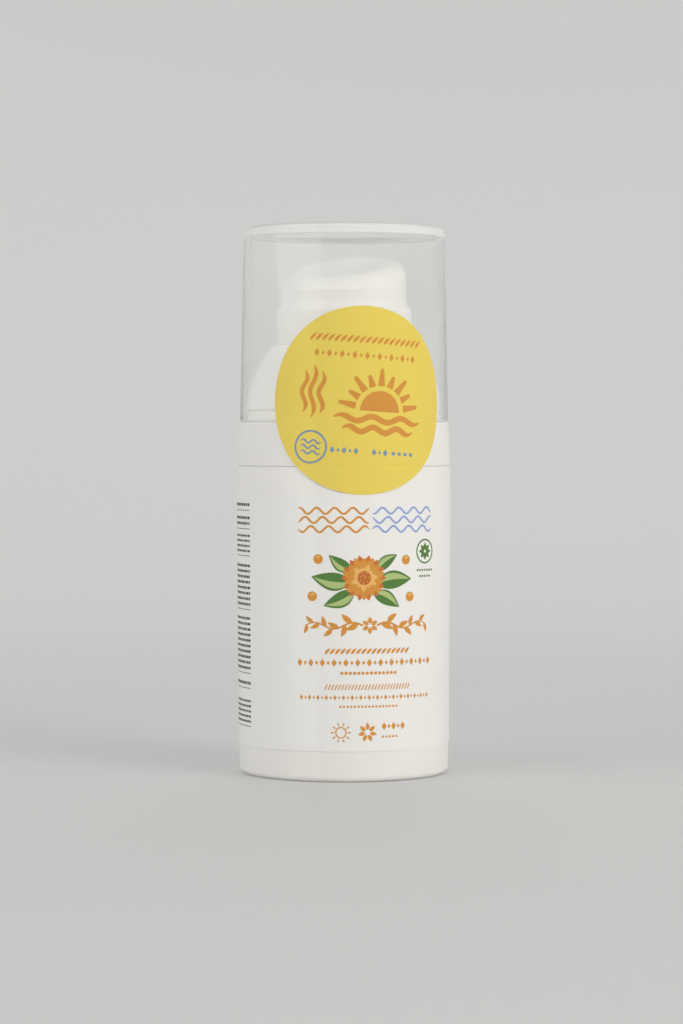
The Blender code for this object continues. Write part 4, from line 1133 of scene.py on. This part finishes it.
borderLeaf = flatShape("border_leaf", placed(leafPoints(1.35, 0.46, 0.06, 7), -0.45, -0.5, 48))
borderLozenge = flatShape("border_lozenge", lozengePoints(0.86, 1.3))
fineLozenge = flatShape("fine_lozenge", lozengePoints(0.56, 0.9))
borderBead = flatShape("border_bead", circlePoints(0, 0, 0.27, 12))
fineBead = flatShape("fine_bead", circlePoints(0, 0, 0.2, 10))
borderSlash = flatShape("border_slash", slashPoints(0.2, 0.9, 0.2))
rayLine = flatShape("ray_line", slashPoints(0.55, 0.2, 0))
smallPetal = flatShape("small_petal", leafPoints(1.2, 0.66, 0, 8))
smallSun, smallBloom = (-4.7, -8.75), (-0.3, -8.75)
edgingSheet = Sheet()
borders(
    edgingSheet, "orange",
    (borderLeaf, 17, 0.86, 0, 4.6, 0.0), (borderLozenge, 25, 0.97, 0, 2.7, 0.42),
    (borderBead, 14, 0.7, 0, 1.0, 0.0), (borderSlash, 27, 0.55, 0, -1.3, 0.0),
    (fineLozenge, 33, 0.71, 0, -3.0, 0.35), (fineBead, 17, 0.6, 0, -4.5, 0.0),
)
ringShape(edgingSheet, *smallSun, 0.95, 0.2, inks["orange"], 32)
copiesRound(edgingSheet, rayLine, "orange", 10, 1.4, move=smallSun)
copiesRound(edgingSheet, smallPetal, "orange", 7, 0.42, move=smallBloom, first=90)
borders(edgingSheet, "orange", (borderLozenge, 5, 0.86, 4.3, -7.8, 0.4), (fineBead, 5, 0.62, 3.6, -9.5, 0.0))
printOnLabel("label_border_print", edgingSheet, -0.5, 17.0)

# Back panels: blocks of tiny dashes, each closed by a thin rule. A block is given by its first row's height,
# its number of rows, and the height and pitch of its dashes. A mirrored panel is flush at its right.
dashes = {
    "perRow": 48, "shortest": 0.2, "longest": 0.95, "gap": 0.2, "ragged": 0.12,
    "rule": 0.11, "ruleDrop": 0.95,
}


def panel(name, x, width, seed, blocks, mirrored=False):
    sheet = Sheet()
    for index, (height, rows, dash, pitch) in enumerate(blocks):
        mesh = grown(rowing, {
            "Width": width, "Rows": rows, "Dashes": dashes["perRow"], "Pitch": pitch, "Height": dash,
            "Shortest": dashes["shortest"], "Longest": dashes["longest"], "Gap": dashes["gap"],
            "Ragged": width * dashes["ragged"], "Seed": seed + index, "Ink": inks["dark"],
        })
        if mirrored:
            for vert in mesh.vertices:
                vert.co.x = width - vert.co.x
        sheet.mesh(mesh, inks["dark"], 0, (-width / 2, height - labelMiddle))
        rule = height - (rows - 1) * pitch - pitch * dashes["ruleDrop"]
        pill(sheet, 0, rule - labelMiddle, width, dashes["rule"], inks["dark"])
    printOnLabel(name, sheet, x, labelMiddle)


panel("label_left_panel_print", -37.9, 28.5, 11, (
    (45.4, 1, 0.46, 1.0), (43.2, 2, 0.46, 0.95), (40.2, 4, 0.36, 0.85), (35.2, 8, 0.42, 0.92),
    (26.4, 10, 0.42, 0.92), (15.6, 1, 0.46, 0.9), (12.6, 5, 0.36, 0.85),
), True)
panel("label_right_panel_print", 36.4, 26.0, 41, (
    (45.2, 2, 0.46, 0.95), (42.0, 9, 0.36, 0.85), (33.2, 7, 0.36, 0.85), (26.0, 6, 0.42, 0.92),
))
print("prints laid")


# Finishes of the pieces that stay as the frame has them
for names, finish in (
    (("pump_housing", "chamber_cover", "pump_stem", "valve_rod"), whitePlastic),
    (("follower_piston", "pump_piston"), softPlastic),
    (("neck_seal",), sealRubber), (("inlet_ball",), springSteel),
):
    for name in names:
        node = frame["nodes"][name]
        node.data.materials.clear()
        node.data.materials.append(finish)


# Floor, lamps and camera
floor = {
    "radius": 780, "sweep": 480, "wallTop": 560, "drop": 0.02,
    "color": (0.64, 0.64, 0.63), "cloud": 120, "cloudShade": 0.97, "grain": 1.2, "grainDepth": 0.02,
    "roughness": 0.75, "roughSpread": 0.1, "specular": 0.2,
    "wallColor": (0.77, 0.77, 0.76), "wallRange": (0.3, 1.2),  # metres from the bottle, as evenRange is
    "even": (0.60, 0.60, 0.587), "evenNear": 0.3, "evenFar": 0.9, "evenRange": (0.1, 0.5),
}


def floorMaterial():
    # The floor is partly seen as an even tone, the more so further out, so its edge and corners don't show.
    material, net, place = newMaterial("pale_floor")
    cloud = net.noise(place, floor["cloud"], 3)
    grain = net.noise(place, floor["grain"], 4, 0.7)
    reach = net.length(place)
    tone = net.mix(cloud, tuple(share * floor["cloudShade"] for share in floor["color"]), floor["color"])
    tone = net.mix(net.ramp(reach, *floor["wallRange"]), tone, floor["wallColor"])
    lit = net.node("ShaderNodeBsdfPrincipled", None, {
        "Base Color": tone, "Roughness": varied(floor["roughness"], grain, floor["roughSpread"]),
        "Normal": net.bump(grain, floor["grainDepth"]), "Specular IOR Level": floor["specular"],
    })
    ray = net.node("ShaderNodeLightPath")
    mirrored = ray["Is Glossy Ray"].math("MAXIMUM", ray["Is Transmission Ray"])
    seen = ray["Is Camera Ray"].math("MAXIMUM", mirrored)
    outer = net.ramp(reach, *floor["evenRange"])
    share = seen * (floor["evenNear"] + outer * (floor["evenFar"] - floor["evenNear"]))
    even = net.node("ShaderNodeEmission", None, {"Color": rgba(floor["even"]), "Strength": 1.0})
    surface(net, net.node("ShaderNodeMixShader", None, {"Fac": share, 1: lit, 2: even}))
    return material


def studioFloor():
    # A round floor just under the foot, which curves up into a wall.
    outline = [(0, -floor["drop"]), (floor["radius"] * 0.5, -floor["drop"])]
    for step in range(33):
        turn = math.radians(90 * step / 32)
        radius = floor["radius"] + floor["sweep"] * math.sin(turn)
        outline.append((radius, floor["sweep"] * (1 - math.cos(turn)) - floor["drop"]))
    outline.append((floor["radius"] + floor["sweep"], floor["wallTop"]))
    mesh = metricMesh("studio_floor", turnedMesh(outline, False, 128))
    mesh.materials.append(floorMaterial())
    added("studio_floor", mesh)


# The lamps' powers are in watts. The fill lamp is split in two, of which the cap mirrors only the weaker one.
lamps = {
    "aimHeight": 0.045,
    "keyPower": 5.9, "keySize": (0.7, 0.7), "keyAt": (0.56, -0.86, 0.38), "keyColor": (1, 0.985, 0.96),
    "fillPower": 3.1, "mirrorPower": 1.25, "fillSize": (1.25, 0.72), "fillAt": (-0.95, -0.32, 0.42),
    "backPower": 2.3, "backSize": (0.9, 0.6), "backAt": (0.35, 0.95, 0.6),
    "sky": (0.985, 0.99, 1.0), "skyStrength": 0.54,
}


def lamp(name, power, size, spot, color=(1, 1, 1)):
    light = bpy.data.lights.new(name, "AREA")
    light.shape, light.energy, light.color = "ELLIPSE", power, color
    light.size, light.size_y = size
    item = added(name, light)
    item.location = spot
    item.rotation_mode = "QUATERNION"
    item.rotation_quaternion = (Vector((0, 0, lamps["aimHeight"])) - Vector(spot)).to_track_quat("-Z", "Y")
    item.visible_camera = False
    return item


studioFloor()
lamp("mirrored_lamp", lamps["mirrorPower"], lamps["fillSize"], lamps["fillAt"])
lamp("fill_lamp", lamps["fillPower"], lamps["fillSize"], lamps["fillAt"]).visible_glossy = False
for hidden in (lamp("key_lamp", lamps["keyPower"], lamps["keySize"], lamps["keyAt"], lamps["keyColor"]),
               lamp("back_lamp", lamps["backPower"], lamps["backSize"], lamps["backAt"])):
    hidden.visible_glossy = hidden.visible_transmission = False

world = bpy.data.worlds.new("soft_sky")
bpy.context.scene.world = world
world.use_nodes = True
world.node_tree.nodes.clear()
skyNet = Net(world.node_tree)
sky = skyNet.node("ShaderNodeBackground", None, {
    "Color": rgba(lamps["sky"]), "Strength": lamps["skyStrength"],
})
skyNet.node("ShaderNodeOutputWorld", None, {"Surface": sky})

view = {
    "turn": -15, "distance": 514, "height": 57, "tilt": 1.453, "aside": -0.42,
    "pixelsPerUnit": 3036, "frameHeight": 1024, "sensor": 36, "near": 0.01, "far": 10,
}
camera = added("camera", bpy.data.cameras.new("camera"))
camera.data.sensor_width = view["sensor"]
camera.data.lens = view["pixelsPerUnit"] / view["frameHeight"] * view["sensor"]
camera.data.clip_start, camera.data.clip_end = view["near"], view["far"]
turn = math.radians(view["turn"])
right = Vector((math.cos(turn), math.sin(turn), 0))
back = Vector((math.sin(turn), -math.cos(turn), 0))
camera.location = (back * view["distance"] + right * view["aside"] + Vector((0, 0, view["height"]))) * mm
camera.rotation_euler = (math.radians(90 - view["tilt"]), 0, turn)
bpy.context.scene.camera = camera
bpy.context.scene.view_settings.view_transform = "Standard"
print("studio ready")
